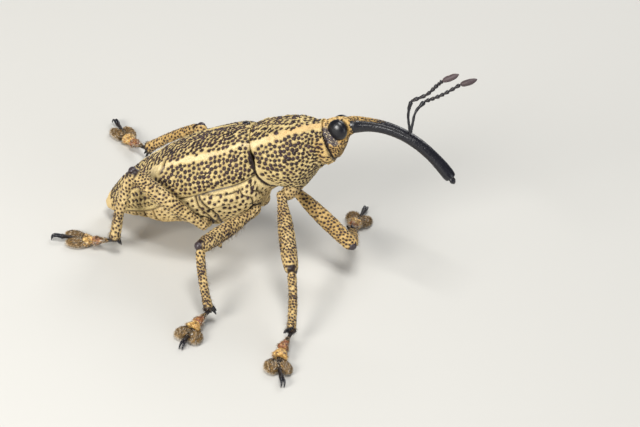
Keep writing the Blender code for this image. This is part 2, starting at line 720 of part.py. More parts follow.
def add_leg(leg, trunk_parent, trunk_room):
    """Femur, tibia and foot of one leg, each cut clear of what it meets."""
    knee, ankle, pad, claw = LEGS[leg]
    knee, ankle = rest_of_leg(knee), rest_of_leg(ankle)
    pad, claw = rest_of_leg(pad, 0.0), rest_of_leg(claw, 0.0)
    pair, side = leg.split("_")
    start = to_floor_axes(hip(leg)[2])
    stout = HIND_TIBIA_SHARE if pair == "hind" else 1.0
    flank = to_floor_axes((0, -1 if side == "right" else 1, 0)) - to_floor_axes((0, 0, 0))
    bow = flank * (HIND_FEMUR_BOW if pair == "hind" else 0.0)

    def femur_place(share):
        return start.lerp(knee, share) + bow * math.sin(math.pi * share)

    thigh = (knee - start).normalized()
    shin = (ankle - knee).normalized()
    inward = (shin - thigh * shin.dot(thigh)).normalized()
    outward = (shin * thigh.dot(shin) - thigh).normalized()
    radii = finer(FEMUR_RADII, FEMUR_RINGS)
    femur = add_object("femur_" + leg, tube(femur_place, radii), "golden_scales", origin=start)
    root = femur_place(TOOTH_AT)
    tooth = thorn(root + inward * TOOTH_ROOT, root + inward * TOOTH_HEIGHT, TOOTH_RADIUS)
    join_pieces(femur, [add_object("tooth", tooth, "golden_scales", origin=start)])
    room = add_hip_room(leg, trunk_parent)
    cut(femur, room)
    bpy.data.objects.remove(room)
    cut(femur, trunk_room)

    def tibia_place(share):
        return knee.lerp(ankle, share) - outward * TIBIA_BOW * math.sin(math.pi * share)

    tibia_radii = [(share, radius * stout) for share, radius in finer(TIBIA_RADII, TIBIA_RINGS)]
    tibia = add_object("tibia_" + leg, tube(tibia_place, tibia_radii), "golden_scales", origin=knee)
    room = add_cutter("femur_room", tube(femur_place, radii, grow=GAP))
    cut(tibia, room)
    bpy.data.objects.remove(room)
    room = add_cutter("tibia_room", tube(tibia_place, tibia_radii, grow=GAP))
    add_foot(leg, ankle, pad, claw, room)
    bpy.data.objects.remove(room)
    root, bend, tip = (ankle + shin * down + outward * out for down, out in SPUR_PLACES)
    spur = thorn(root, tip, SPUR_RADIUS, bend)
    join_pieces(tibia, [add_object("spur", spur, "golden_scales", origin=knee)])


def foot_stem(ankle, pad):
    """The foot's two short segments, from the ankle down to the pads."""
    reach_out = Vector((pad.x - ankle.x, pad.y - ankle.y, 0.0))
    places = [ankle]
    for share, height, lean in FOOT_JOINTS:
        joint = ankle + reach_out * share
        places.append(Vector((joint.x + lean, joint.y, height)))
    back, height = FOOT_THROAT
    places.append(pad - reach_out.normalized() * back + Vector((0, 0, height)))
    return tube(partial(polyline, places), FOOT_RADII, 7)


def foot_pads(pad, forward, across):
    """The two lobes that the foot stands on, flat below, and the bridge over them."""
    turn = Matrix.Rotation(math.atan2(forward.y, forward.x), 4, "Z")
    shapes = []
    for side in (-1, 1):
        lobe = bmesh.new()
        splay = Matrix.Rotation(side * PAD_SPLAY, 4, "Z")
        centre = pad + across * side * PAD_SPREAD + Vector((0, 0, PAD_HEIGHT))
        add_ball(lobe, centre, PAD_HALF, turn @ splay, 10, 6)
        for vert in lobe.verts:
            vert.co.z = max(vert.co.z, 0.0)
        bmesh.ops.remove_doubles(lobe, verts=lobe.verts, dist=0.0001)
        shapes.append(lobe)
    bridge = bmesh.new()
    back, height = BRIDGE_PLACE
    add_ball(bridge, pad - forward * back + Vector((0, 0, height)), BRIDGE_HALF, turn, 8, 5)
    return shapes + [bridge]


def foot_claws(pad, claw, forward, across):
    """The last segment, which rises from between the lobes, and its two hooked claws."""
    back, height = STALK_PLACE
    root = pad - forward * back + Vector((0, 0, height))
    tip = claw - forward * CLAW_REACH + Vector((0, 0, CLAW_HEIGHT))
    shapes = [tube(straight(root, tip), STALK_RADII, 6)]
    onward, rise = CLAW_BEND
    for side in (-1, 1):
        apart = across * side
        start = tip - forward * CLAW_ROOT_IN + apart * CLAW_ROOT_SPREAD
        bend = tip + forward * onward + apart * CLAW_SPREAD + Vector((0, 0, rise))
        end = claw + apart * CLAW_SPREAD + Vector((0, 0, CLAW_TIP_HEIGHT))
        shapes.append(thorn(start, end, CLAW_RADIUS, bend))
    return shapes


def add_foot(leg, ankle, pad, claw, room):
    """The foot: two short segments, two flat-soled lobes, the last segment and two claws."""
    forward = (claw - pad).normalized()
    across = Vector((-forward.y, forward.x, 0))
    foot = add_object("tarsus_" + leg, foot_stem(ankle, pad), "foot_brown", origin=pad)
    shapes = foot_pads(pad, forward, across) + foot_claws(pad, claw, forward, across)
    join_pieces(foot, [add_object("foot_shape", shape, "foot_brown", origin=pad) for shape in shapes])
    cut(foot, room)


def main():
    """Builds the weevil from an empty scene."""
    clear_scene()
    axes = body_axes()
    add_elytra(axes)
    add_underside(axes)
    add_prothorax(axes)
    add_head(axes)
    add_snout(axes)
    add_feelers(axes)
    add_coxae(axes)
    hind_room, fore_room = trunk_rooms(axes)
    for leg in LEGS:
        add_leg(leg, axes, fore_room if leg.startswith("front") else hind_room)
    bpy.data.objects.remove(hind_room)
    bpy.data.objects.remove(fore_room)


main()
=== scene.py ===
"""Looks of a large long-snouted weevil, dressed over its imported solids.

Lengths are in millimetres, and MM turns them into the scene's metres where a mesh is made. The
trunk is drawn in its own axes: x runs forward from the tip of the wing cases, y to the animal's
left and z to its back. The legs are drawn in the scene's axes, as the solids that they dress are.
Every surface is a Skin, drawn over u, along it, and v, round it. Dark grains and pale scales are
sown over the skins as real meshes, and both the skins and the scales carry the same markings.
"""

from __future__ import annotations

import json
import logging
import math
from dataclasses import dataclass, field, replace
from enum import Enum
from typing import Callable, NamedTuple

import bpy
import numpy as np
from mathutils import Matrix, Vector
from mathutils.kdtree import KDTree
from numpy import ndarray as Array
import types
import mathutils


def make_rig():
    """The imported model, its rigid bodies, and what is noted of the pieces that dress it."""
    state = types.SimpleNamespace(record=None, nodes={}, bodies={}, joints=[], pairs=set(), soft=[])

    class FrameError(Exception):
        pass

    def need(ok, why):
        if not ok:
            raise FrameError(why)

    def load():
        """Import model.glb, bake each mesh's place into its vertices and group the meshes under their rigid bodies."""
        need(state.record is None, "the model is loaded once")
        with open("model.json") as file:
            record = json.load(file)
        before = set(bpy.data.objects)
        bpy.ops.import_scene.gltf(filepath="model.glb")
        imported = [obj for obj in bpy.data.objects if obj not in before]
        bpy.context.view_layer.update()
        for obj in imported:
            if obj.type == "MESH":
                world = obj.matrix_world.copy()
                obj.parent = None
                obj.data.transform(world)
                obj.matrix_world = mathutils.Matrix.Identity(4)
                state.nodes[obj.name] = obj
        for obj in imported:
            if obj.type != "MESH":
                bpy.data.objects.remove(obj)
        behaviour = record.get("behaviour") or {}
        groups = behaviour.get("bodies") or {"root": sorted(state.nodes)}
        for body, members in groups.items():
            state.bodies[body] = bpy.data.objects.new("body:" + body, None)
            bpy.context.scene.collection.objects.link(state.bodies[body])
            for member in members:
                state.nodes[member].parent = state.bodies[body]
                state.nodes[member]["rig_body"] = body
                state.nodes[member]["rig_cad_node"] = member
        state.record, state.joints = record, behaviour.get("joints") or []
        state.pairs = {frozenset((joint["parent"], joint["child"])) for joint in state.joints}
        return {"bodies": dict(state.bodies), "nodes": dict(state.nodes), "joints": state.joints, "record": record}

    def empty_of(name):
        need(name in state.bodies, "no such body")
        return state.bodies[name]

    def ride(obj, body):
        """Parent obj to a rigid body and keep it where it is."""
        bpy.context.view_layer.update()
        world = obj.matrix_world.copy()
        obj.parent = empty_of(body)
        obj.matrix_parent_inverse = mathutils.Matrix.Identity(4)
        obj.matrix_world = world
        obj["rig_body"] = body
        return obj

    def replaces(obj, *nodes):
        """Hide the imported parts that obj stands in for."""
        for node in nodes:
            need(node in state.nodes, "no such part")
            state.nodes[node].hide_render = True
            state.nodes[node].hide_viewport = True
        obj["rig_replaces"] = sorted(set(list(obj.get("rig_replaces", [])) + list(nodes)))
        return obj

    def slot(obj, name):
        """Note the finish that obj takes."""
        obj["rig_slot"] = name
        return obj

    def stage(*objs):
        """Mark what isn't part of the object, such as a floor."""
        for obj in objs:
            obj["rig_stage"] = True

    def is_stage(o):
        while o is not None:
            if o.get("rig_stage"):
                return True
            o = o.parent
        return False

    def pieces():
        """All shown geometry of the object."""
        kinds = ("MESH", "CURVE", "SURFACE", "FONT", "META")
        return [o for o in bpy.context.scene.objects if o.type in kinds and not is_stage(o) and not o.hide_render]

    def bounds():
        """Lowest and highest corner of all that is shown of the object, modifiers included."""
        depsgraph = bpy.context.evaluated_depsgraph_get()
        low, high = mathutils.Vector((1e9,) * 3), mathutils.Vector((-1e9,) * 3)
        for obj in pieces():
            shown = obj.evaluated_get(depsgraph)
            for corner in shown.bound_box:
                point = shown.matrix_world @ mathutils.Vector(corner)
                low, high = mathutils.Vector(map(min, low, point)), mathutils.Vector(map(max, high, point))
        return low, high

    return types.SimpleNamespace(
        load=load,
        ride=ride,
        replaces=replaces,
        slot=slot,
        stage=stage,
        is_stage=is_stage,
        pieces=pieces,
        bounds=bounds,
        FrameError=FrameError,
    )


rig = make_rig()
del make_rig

MM = 0.001
SEED = 41
SIZE_FILE = "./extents.json"
LOG = logging.getLogger("weevil")

Rng = np.random.Generator
Triple = tuple[float, float, float]
Table = tuple[tuple[float, ...], ...]
Colour = tuple[float, ...]
Path = Callable[[Array], Array]

# The trunk's stance, as in the solids
APEX = np.array((-13.6, 2.15, 1.8))
HEADING, PITCH, ROLL = (math.radians(angle) for angle in (3.0, 31.0, -20.0))
TRUNK_TURN = np.array(
    Matrix.Rotation(HEADING, 3, "Z") @ Matrix.Rotation(-PITCH, 3, "Y") @ Matrix.Rotation(ROLL, 3, "X")
)
UP = np.array((0.0, 0.0, 1.0))
FLAKE_PATCH = 0.0015  # half of a tuft's patch on the OFBake map


class Side(Enum):
    """A side of the body, with the sign of its y."""

    LEFT = 1
    RIGHT = -1


class Slot(Enum):
    """The record's material slots."""

    CREAM = "cream_scales"
    GOLD = "golden_scales"
    BLACK = "black_shell"
    EYE = "eye_black"
    FOOT = "foot_brown"


def trunk_to_scene(points: Array) -> Array:
    """Turns trunk millimetres into scene millimetres."""
    return points @ TRUNK_TURN.T + APEX


def unit(vectors: Array) -> Array:
    """Vectors of length one."""
    return vectors / np.maximum(np.linalg.norm(vectors, axis=-1, keepdims=True), 1e-12)


def smooth(value: Array, low: float, high: float) -> Array:
    """Nothing below low, one above high, with a smooth step between."""
    share = np.clip((value - low) / (high - low), 0.0, 1.0)
    return share * share * (3.0 - 2.0 * share)


def fall(value: Array, low: float, high: float) -> Array:
    """One below low, nothing above high, with a smooth step between."""
    return smooth(-value, -high, -low)


def bell(value: Array, middle: float, reach: float) -> Array:
    """One at the middle, and falling off round it over about its reach."""
    return np.exp(-(((value - middle) / reach) ** 2))


def blended(rows: Table, *shares: Array) -> Array:
    """Adds up rows of sizes, the first in full and each other one by its share.

    Args:
        rows: the rows.
        shares: the share of each row after the first, place by place.

    Returns:
        The sizes, place by place.
    """
    first, *others = np.array(rows)
    return first[:, None] + sum(row[:, None] * share for row, share in zip(others, shares))


def power(value: Array, exponent: float) -> Array:
    """A signed power, which makes a cross section fuller than an ellipse."""
    return np.sign(value) * np.abs(value) ** exponent


def ripple(points: Array, scale: float, seed: int = 0) -> Array:
    """Smooth wandering noise.

    Args:
        points: where it is read.
        scale: how wide its features are, about, in millimetres.
        seed: which noise.

    Returns:
        Values between about -1 and 1.
    """
    rng = np.random.default_rng(SEED + seed)
    total = np.zeros(len(points))
    for _ in range(7):
        wave = unit(rng.normal(size=3)) * (2.0 * math.pi / scale) * rng.uniform(0.45, 1.0)
        total += np.sin(points @ wave + rng.uniform(0.0, 2.0 * math.pi))
    return total / 2.6


def linked(name: str, data: bpy.types.ID) -> bpy.types.Object:
    """A new object in the scene.

    Args:
        name: the object's name.
        data: the mesh, light or camera that it shows.

    Returns:
        The object.
    """
    obj = bpy.data.objects.new(name, data)
    bpy.context.scene.collection.objects.link(obj)
    return obj


@dataclass(frozen=True)
class Profile:
    """A smooth outline through a few named points, read at any place along it."""

    points: Table

    def __call__(self, at: Array) -> Array:
        """Reads the outline.

        Args:
            at: places along it.

        Returns:
            The outline's value at each place.
        """
        xs, ys = np.array(self.points).T
        steps = np.diff(ys) / np.diff(xs)
        slopes = np.concatenate((steps[:1], np.zeros(len(xs) - 2), steps[-1:]))
        slopes[1:-1] = np.where(steps[:-1] * steps[1:] > 0, (steps[:-1] + steps[1:]) / 2, 0.0)
        at = np.clip(at, xs[0], xs[-1])
        i = np.clip(np.searchsorted(xs, at, side="right") - 1, 0, len(xs) - 2)
        width = xs[i + 1] - xs[i]
        t = (at - xs[i]) / width
        ends = ys[i] * (1 + 2 * t) * (1 - t) ** 2 + ys[i + 1] * t * t * (3 - 2 * t)
        return ends + width * (slopes[i] * t * (1 - t) ** 2 - slopes[i + 1] * t * t * (1 - t))


@dataclass
class Places:
    """Places on a skin."""

    u: Array  # along it
    v: Array  # round it
    points: Array  # the same places in the skin's own axes


@dataclass
class Frame(Places):
    """Places on a skin with the directions there."""

    along: Array
    across: Array
    outward: Array

    def kept(self, keep: Array) -> Frame:
        """Some of the places."""
        return Frame(*(part[keep] for part in vars(self).values()))


@dataclass
class Marks:
    """What colours a place: shares of stripe, gold and bare dark shell, the dark share also carrying painted shade in
    some gaps.
    """

    stripe: Array
    gold: Array
    bare: Array


class Skin:
    """A surface drawn over u, along it, and v, round it."""

    u_span: tuple[float, float]
    v_span: tuple[float, float]
    hand: int = 1  # 1 where along, across and outward are right-handed
    closed: bool = False  # whether v runs all round
    in_trunk: bool = True
    mirrored: bool = False  # whether one skin covers both sides, so that its lines are drawn twice
    lie: float = -1.0  # which way along the skin the scales point
    seams: tuple[Line, ...] = ()

    def place(self, u: Array, v: Array) -> Array:
        """The points of the skin in its own axes."""
        raise NotImplementedError

    def marks(self, at: Places) -> Marks:
        """The markings at places on the skin."""
        raise NotImplementedError

    def relief(self, at: Places) -> Array:
        """Folds and dents of the skin, over its own shape."""
        return np.zeros(len(at.u))

    def scaled(self, at: Places) -> Array:
        """How thick the scales stand, from none at nothing to all at one."""
        return np.ones(len(at.u))

    def sowing(self, at: Places, rng: Rng) -> Sowing:
        """How the grains grow."""
        raise NotImplementedError

    def extra_grains(self, rng: Rng) -> list[Grains]:
        """Grains that stand in rows of their own."""
        return []

    def at(self, u: Array, v: Array) -> Places:
        """Places on the skin."""
        return Places(u, v, self.place(u, v))

    def hold(self, v: Array) -> Array:
        """Keeps v within the skin."""
        return v if self.closed else np.clip(v, *self.v_span)

    def scale(self, u: Array, v: Array) -> tuple[Array, Array]:
        """How many millimetres one step of u and of v make.

        Args:
            u: places along the skin.
            v: places round it.

        Returns:
            The two lengths at each place.
        """
        du, dv = (2e-3 * (span[1] - span[0]) for span in (self.u_span, self.v_span))
        low, high = np.clip(u - du, *self.u_span), np.clip(u + du, *self.u_span)
        below, above = self.hold(v - dv), self.hold(v + dv)
        along = np.linalg.norm(self.place(high, v) - self.place(low, v), axis=1) / (high - low)
        across = np.linalg.norm(self.place(u, above) - self.place(u, below), axis=1) / (above - below)
        return np.maximum(along, 1e-4), np.maximum(across, 1e-4)

    def lattice(self, fine: float) -> tuple[Array, Array]:
        """Evenly spread places for the skin's own mesh.

        Args:
            fine: how far apart they lie.

        Returns:
            The places' u and v, as rows along the skin and columns round it.
        """
        u_fine, v_fine = np.linspace(*self.u_span, 800), np.linspace(*self.v_span, 400)
        turns = (0.5 * sum(self.v_span), *self.v_span)
        run = sum(measure(self.place(u_fine, np.full(800, v))) for v in turns) / 3
        u = np.interp(np.linspace(0, run[-1], max(6, int(run[-1] / fine))), run, u_fine)
        rings = [self.place(np.full(400, at), v_fine) for at in np.quantile(u, (0.3, 0.5, 0.7))]
        run = sum(measure(ring) for ring in rings) / 3
        columns = max(8, int(run[-1] / fine))
        v = np.interp(np.linspace(0, run[-1], columns + int(self.closed)), run, v_fine)[:columns]
        return tuple(np.meshgrid(u, v, indexing="ij"))

    def to_scene(self, points: Array) -> Array:
        """Turns the skin's own axes into the scene's, in millimetres."""
        return trunk_to_scene(points) if self.in_trunk else points

    def frame(self, u: Array, v: Array) -> Frame:
        """The directions of the skin at places on it.

        Args:
            u: places along the skin.
            v: places round it.

        Returns:
            The points with their directions along, across and out of the skin, in its own axes.
        """
        du, dv = (1e-3 * (span[1] - span[0]) for span in (self.u_span, self.v_span))
        low, high = np.clip(u - du, *self.u_span), np.clip(u + du, *self.u_span)
        along = unit(self.place(high, v) - self.place(low, v))
        across = unit(self.place(u, self.hold(v + dv)) - self.place(u, self.hold(v - dv)))
        return Frame(u, v, self.place(u, v), along, across, unit(np.cross(along, across)) * self.hand)

    def add_mesh(
        self, pile: Pile, island: Island, at: Places, columns: int, points: Array, values: dict[str, Array]
    ) -> None:
        """Adds the skin's own mesh, closed at its ends.

        Args:
            pile: where it goes.
            island: its place on the OFBake map.
            at: the places of its lattice.
            columns: how many of them lie round the skin.
            points: where the mesh's points lie, one for each place.
            values: what the finish reads there.
        """
        numbers = np.arange(len(points)).reshape(-1, columns)
        beside = np.roll(numbers, -1, 1)
        a, b, c, d = (part.ravel() for part in (numbers[:-1], beside[:-1], beside[1:], numbers[1:]))
        first, last = (np.full(columns, len(points) + k) for k in (0, 1))
        corners = ((a, c, b), (a, d, c), (numbers[0], beside[0], first), (beside[-1], numbers[-1], last))
        triangles = np.concatenate([np.stack(part, 1) for part in corners])[:, :: self.hand]
        middles = points.reshape(-1, columns, 3)[[0, -1]].mean(1)
        placed = self.to_scene(np.concatenate((points, middles)))
        placed[:, 2] = np.maximum(placed[:, 2], 0.0)
        values = {key: np.append(value, value[[0, -1]]) for key, value in values.items()}
        places = island.spread(self, at.u, at.v)
        pile.add(placed, triangles, values, np.concatenate((places, places[[0, -1]])))

    def rows(self, row_gap: float, gap: float, rng: Rng, stray: float) -> tuple[Array, Array]:
        """Places in staggered rows, evenly spread over the skin.

        Args:
            row_gap: distance between rows.
            gap: distance between places in a row.
            rng: where the strays come from.
            stray: how far each place strays, as a share of the gaps.

        Returns:
            The places' u and v.
        """
        fine = 160
        u_fine = np.linspace(*self.u_span, 4 * fine)
        v_fine = np.linspace(*self.v_span, fine)
        middle = np.full_like(u_fine, 0.5 * sum(self.v_span))
        run = measure(self.place(u_fine, middle))
        count = max(2, int(run[-1] / row_gap))
        rows = np.interp((np.arange(count) + 0.5) * run[-1] / count, run, u_fine)
        pitch = np.gradient(rows)
        grid = self.place(np.repeat(rows, fine), np.tile(v_fine, count)).reshape(count, fine, 3)
        us, vs = [], []
        for i in range(count):
            length = measure(grid[i])
            many = int(length[-1] / gap)
            if many < 1:
                continue
            steps = np.arange(many) + 0.25 + 0.5 * (i % 2) + rng.uniform(-stray, stray, many)
            vs.append(np.interp(steps * length[-1] / many, length, v_fine))
            us.append(rows[i] + rng.uniform(-stray, stray, many) * pitch[i])
        return np.clip(np.concatenate(us), *self.u_span), np.concatenate(vs)


def measure(points: Array) -> Array:
    """The running length along a line of points."""
    return np.concatenate(([0.0], np.cumsum(np.linalg.norm(np.diff(points, axis=0), axis=1))))


@dataclass
class Pile:
    """Triangles gathered for one piece, with the values that its finish reads."""

    name: str
    points: list[Array] = field(default_factory=list)
    triangles: list[Array] = field(default_factory=list)
    values: dict[str, list[Array]] = field(default_factory=dict)
    places: list[Array] = field(default_factory=list)
    count: int = 0

    def add(self, points: Array, triangles: Array, values: dict[str, Array], places: Array) -> None:
        """Adds one mesh.

        Args:
            points: its points, in scene millimetres.
            triangles: its triangles, as three indices each.
            values: what the finish reads at each point.
            places: where each point lies on the OFBake map.
        """
        self.points.append(points)
        self.triangles.append(triangles + self.count)
        for key, value in values.items():
            self.values.setdefault(key, []).append(np.broadcast_to(value, (len(points),)))
        self.places.append(places)
        self.count += len(points)

    def add_copies(self, points: Array, shape: Array, values: dict[str, Array], roots: Array) -> None:
        """Adds many small bodies of one kind.

        Args:
            points: an array of copies, corners of each, and x, y, z.
            shape: the triangles of one copy.
            values: what the finish reads, one number for each copy.
            roots: each copy's root on the OFBake map.
        """
        copies, corners = points.shape[:2]
        triangles = (shape[None] + (np.arange(copies) * corners)[:, None, None]).reshape(-1, 3)
        turn = 2.0 * math.pi * np.arange(corners) / corners
        patch = FLAKE_PATCH * np.stack((np.cos(turn), np.sin(turn)), 1)
        places = (roots[:, None, :] + patch[None]).reshape(-1, 2)
        spread = {key: np.repeat(value, corners) for key, value in values.items()}
        self.add(points.reshape(-1, 3), triangles, spread, places)

    def make(self, material: bpy.types.Material, slot: Slot, smooth_shaded: bool = True) -> bpy.types.Object:
        """Makes the piece.

        Args:
            material: its finish.
            slot: the record's slot that the finish stands for.
            smooth_shaded: whether its faces are shaded smooth.

        Returns:
            The piece, riding on the root body.
        """
        points = np.concatenate(self.points) * MM
        triangles = np.concatenate(self.triangles)
        mesh = bpy.data.meshes.new(self.name)
        mesh.vertices.add(len(points))
        mesh.vertices.foreach_set("co", points.astype(np.float32).ravel())
        mesh.loops.add(3 * len(triangles))
        mesh.loops.foreach_set("vertex_index", triangles.astype(np.int32).ravel())
        mesh.polygons.add(len(triangles))
        mesh.polygons.foreach_set("loop_start", np.arange(0, 3 * len(triangles), 3, dtype=np.int32))
        mesh.polygons.foreach_set("use_smooth", np.full(len(triangles), smooth_shaded))
        mesh.update(calc_edges=True)
        places = np.clip(np.concatenate(self.places), 0.0, 1.0)
        layer = mesh.uv_layers.new(name="OFBake")
        layer.data.foreach_set("uv", places[triangles.ravel()].astype(np.float32).ravel())
        for key, parts in self.values.items():
            attribute = mesh.attributes.new(key, "FLOAT", "POINT")
            attribute.data.foreach_set("value", np.concatenate(parts).astype(np.float32))
        mesh.materials.append(material)
        piece = linked(self.name, mesh)
        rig.ride(piece, "root")
        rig.slot(piece, slot.value)
        LOG.info("%s: %d triangles", self.name, len(triangles))
        return piece


@dataclass(frozen=True)
class Island:
    """The rectangle that one skin has on the OFBake map."""

    left: float = 0.0
    low: float = 0.0
    right: float = 1.0
    high: float = 1.0

    def spread(self, skin: Skin, u: Array, v: Array) -> Array:
        """Where places on a skin lie in the island.

        Args:
            skin: the skin.
            u: places along it.
            v: places round it.

        Returns:
            Each place's point on the OFBake map.
        """
        margin = 2 * FLAKE_PATCH
        shares = [(at - span[0]) / (span[1] - span[0]) for at, span in ((u, skin.u_span), (v, skin.v_span))]
        across = self.left + margin + (self.right - self.left - 2 * margin) * np.clip(shares[0], 0, 1)
        upward = self.low + margin + (self.high - self.low - 2 * margin) * np.mod(shares[1], 1.0001)
        return np.stack((across, upward), 1)

    def cell(self, index: int, columns: int, rows: int) -> Island:
        """One cell of the island.

        Args:
            index: its number, counted along the rows.
            columns: how many cells a row has.
            rows: how many rows there are.

        Returns:
            The cell.
        """
        wide, tall = (self.right - self.left) / columns, (self.high - self.low) / rows
        left, low = self.left + wide * (index % columns), self.low + tall * (index // columns)
        return Island(left, low, left + wide, low + tall)


@dataclass(frozen=True)
class Line:
    """A line drawn on a skin through named places (u, v), such as a seam or a stripe."""

    places: Table
    half: float

    def drawn(self, skin: Skin) -> Array:
        """Draws the line on a skin, on both its sides.

        Args:
            skin: what it is drawn on.

        Returns:
            Close points along it.
        """
        places = np.array(self.places, float)
        fine = np.linspace(0, len(places) - 1, 40 * (len(places) - 1) + 1)
        points = skin.place(*(np.interp(fine, np.arange(len(places)), part) for part in places.T))
        return np.concatenate((points, points * (1, -1, 1))) if skin.mirrored else points


class Sowing(NamedTuple):
    """How dark grains grow at places on a skin, with one number for each place or for all."""

    gap: Array | float  # the room that each takes
    long: Array | float  # half its length
    wide: Array | float  # half its width
    tall: Array | float
    lean: Array | float  # its turn from along the skin, in radians
    keep: Array | float  # how likely it is to grow


class Grains(NamedTuple):
    """Dark grains that stand on a skin: their places, half sizes, heights and turns."""

    u: Array
    v: Array
    long: Array
    wide: Array
    tall: Array
    lean: Array


class Web:
    """Round spots near a skin, which tell how far any point is from the nearest of them."""

    def __init__(self, points: Array, radii: Array) -> None:
        """Lays the spots out.

        Args:
            points: their middles.
            radii: their radii.
        """
        self.radii = radii
        self.tree = KDTree(max(1, len(points)))
        for i, point in enumerate(points.tolist()):
            self.tree.insert(point, i)
        self.tree.balance()
        self.empty = len(points) == 0

    def away(self, points: Array, near: int = 3) -> Array:
        """How far points lie outside the nearest spot.

        Args:
            points: where to look from.
            near: how many spots to compare.

        Returns:
            The distance from the rim of the nearest spot, below zero inside it.
        """
        if self.empty:
            return np.full(len(points), 9.0)
        find, radii = self.tree.find_n, self.radii
        return np.array([min(gap - radii[i] for _, i, gap in find(point, near)) for point in points.tolist()])


def web_of(skin: Skin, *lines: Line) -> Web:
    """Lays spots along lines of a skin.

    Args:
        skin: what the lines are drawn on.
        lines: the lines, if any.

    Returns:
        The spots, which tell how far points are from the lines.
    """
    drawn = [line.drawn(skin) for line in lines]
    radii = [np.full(len(points), line.half) for points, line in zip(drawn, lines)]
    return Web(np.concatenate([np.zeros((0, 3)), *drawn]), np.concatenate([np.zeros(0), *radii]))


def spaced(points: Array, gap: Array, keep: Array, rng: Rng, sweep: Triple | None = None) -> Array:
    """Chooses places at least their gaps apart, like grains that each take their own room.

    Args:
        points: places to choose from.
        gap: the room that each one takes.
        keep: how likely each chosen one is to stay.
        rng: where the order and the chances come from.
        sweep: the direction that the choice goes in, which packs them evenly, or None for any order.

    Returns:
        The numbers of the chosen places.
    """
    order = rng.permutation(len(points))
    if sweep is not None:
        order = np.argsort(points @ np.array(sweep) + SWEEP_STRAY * gap * rng.random(len(points)))
    size = float(gap.max())
    cells = np.floor(points / size).astype(int).tolist()
    rows = points.tolist()
    taken: dict[tuple[int, int, int], list[int]] = {}
    near = [(i, j, k) for i in (-1, 0, 1) for j in (-1, 0, 1) for k in (-1, 0, 1)]
    chosen = []
    for i in order.tolist():
        a, b, c = cells[i]
        near_here = (taken.get((a + da, b + db, c + dc), ()) for da, db, dc in near)
        if all(math.dist(rows[i], rows[other]) >= gap[i] for others in near_here for other in others):
            taken.setdefault((a, b, c), []).append(i)
            chosen.append(i)
    chosen = np.array(chosen, int)
    return chosen[rng.random(len(chosen)) < keep[chosen]]


SWEEP = (0.92, 0.25, 0.3)
SWEEP_STRAY = 0.55
GAP_STRAYS = (0.92, 1.0, 1.08)
GRAIN_SIDES = 8


def grain_shape() -> Array:
    """Builds one grain, an irregular dome with a flat base.

    Returns:
        Its triangles.
    """
    ring = [(i, (i + 1) % GRAIN_SIDES) for i in range(GRAIN_SIDES)]
    top = 2 * GRAIN_SIDES
    faces = []
    for i, j in ring:
        faces += [(i, j, GRAIN_SIDES + j), (i, GRAIN_SIDES + j, GRAIN_SIDES + i)]
        faces.append((GRAIN_SIDES + i, GRAIN_SIDES + j, top))
    faces += [(0, i + 1, i) for i in range(1, GRAIN_SIDES - 1)]
    return np.array(faces)


# One scale: its outline as shares of its length and width, its heights, and its triangles
FLAKE_OUTLINE = np.array(((0.4, 0.3), (0.4, -0.3), (-0.1, -0.5), (-0.6, 0.0), (-0.1, 0.5), (-0.15, 0.0)))
FLAKE_HEIGHTS = np.array((-0.9, -0.9, -0.2, 0.45, -0.2, 1.0))
FLAKE_SHAPE = np.array((
    (1, 0, 5), (2, 1, 5), (3, 2, 5), (4, 3, 5), (0, 4, 5), (0, 1, 2), (0, 2, 3), (0, 3, 4),
))
CRACK_SHAPE = np.array(((0, 1, 4), (1, 2, 4), (2, 3, 4), (3, 0, 4), (0, 2, 1), (0, 3, 2)))
HAIR_SHAPE = np.array(((0, 1, 3), (1, 2, 3), (2, 0, 3), (0, 2, 1)))


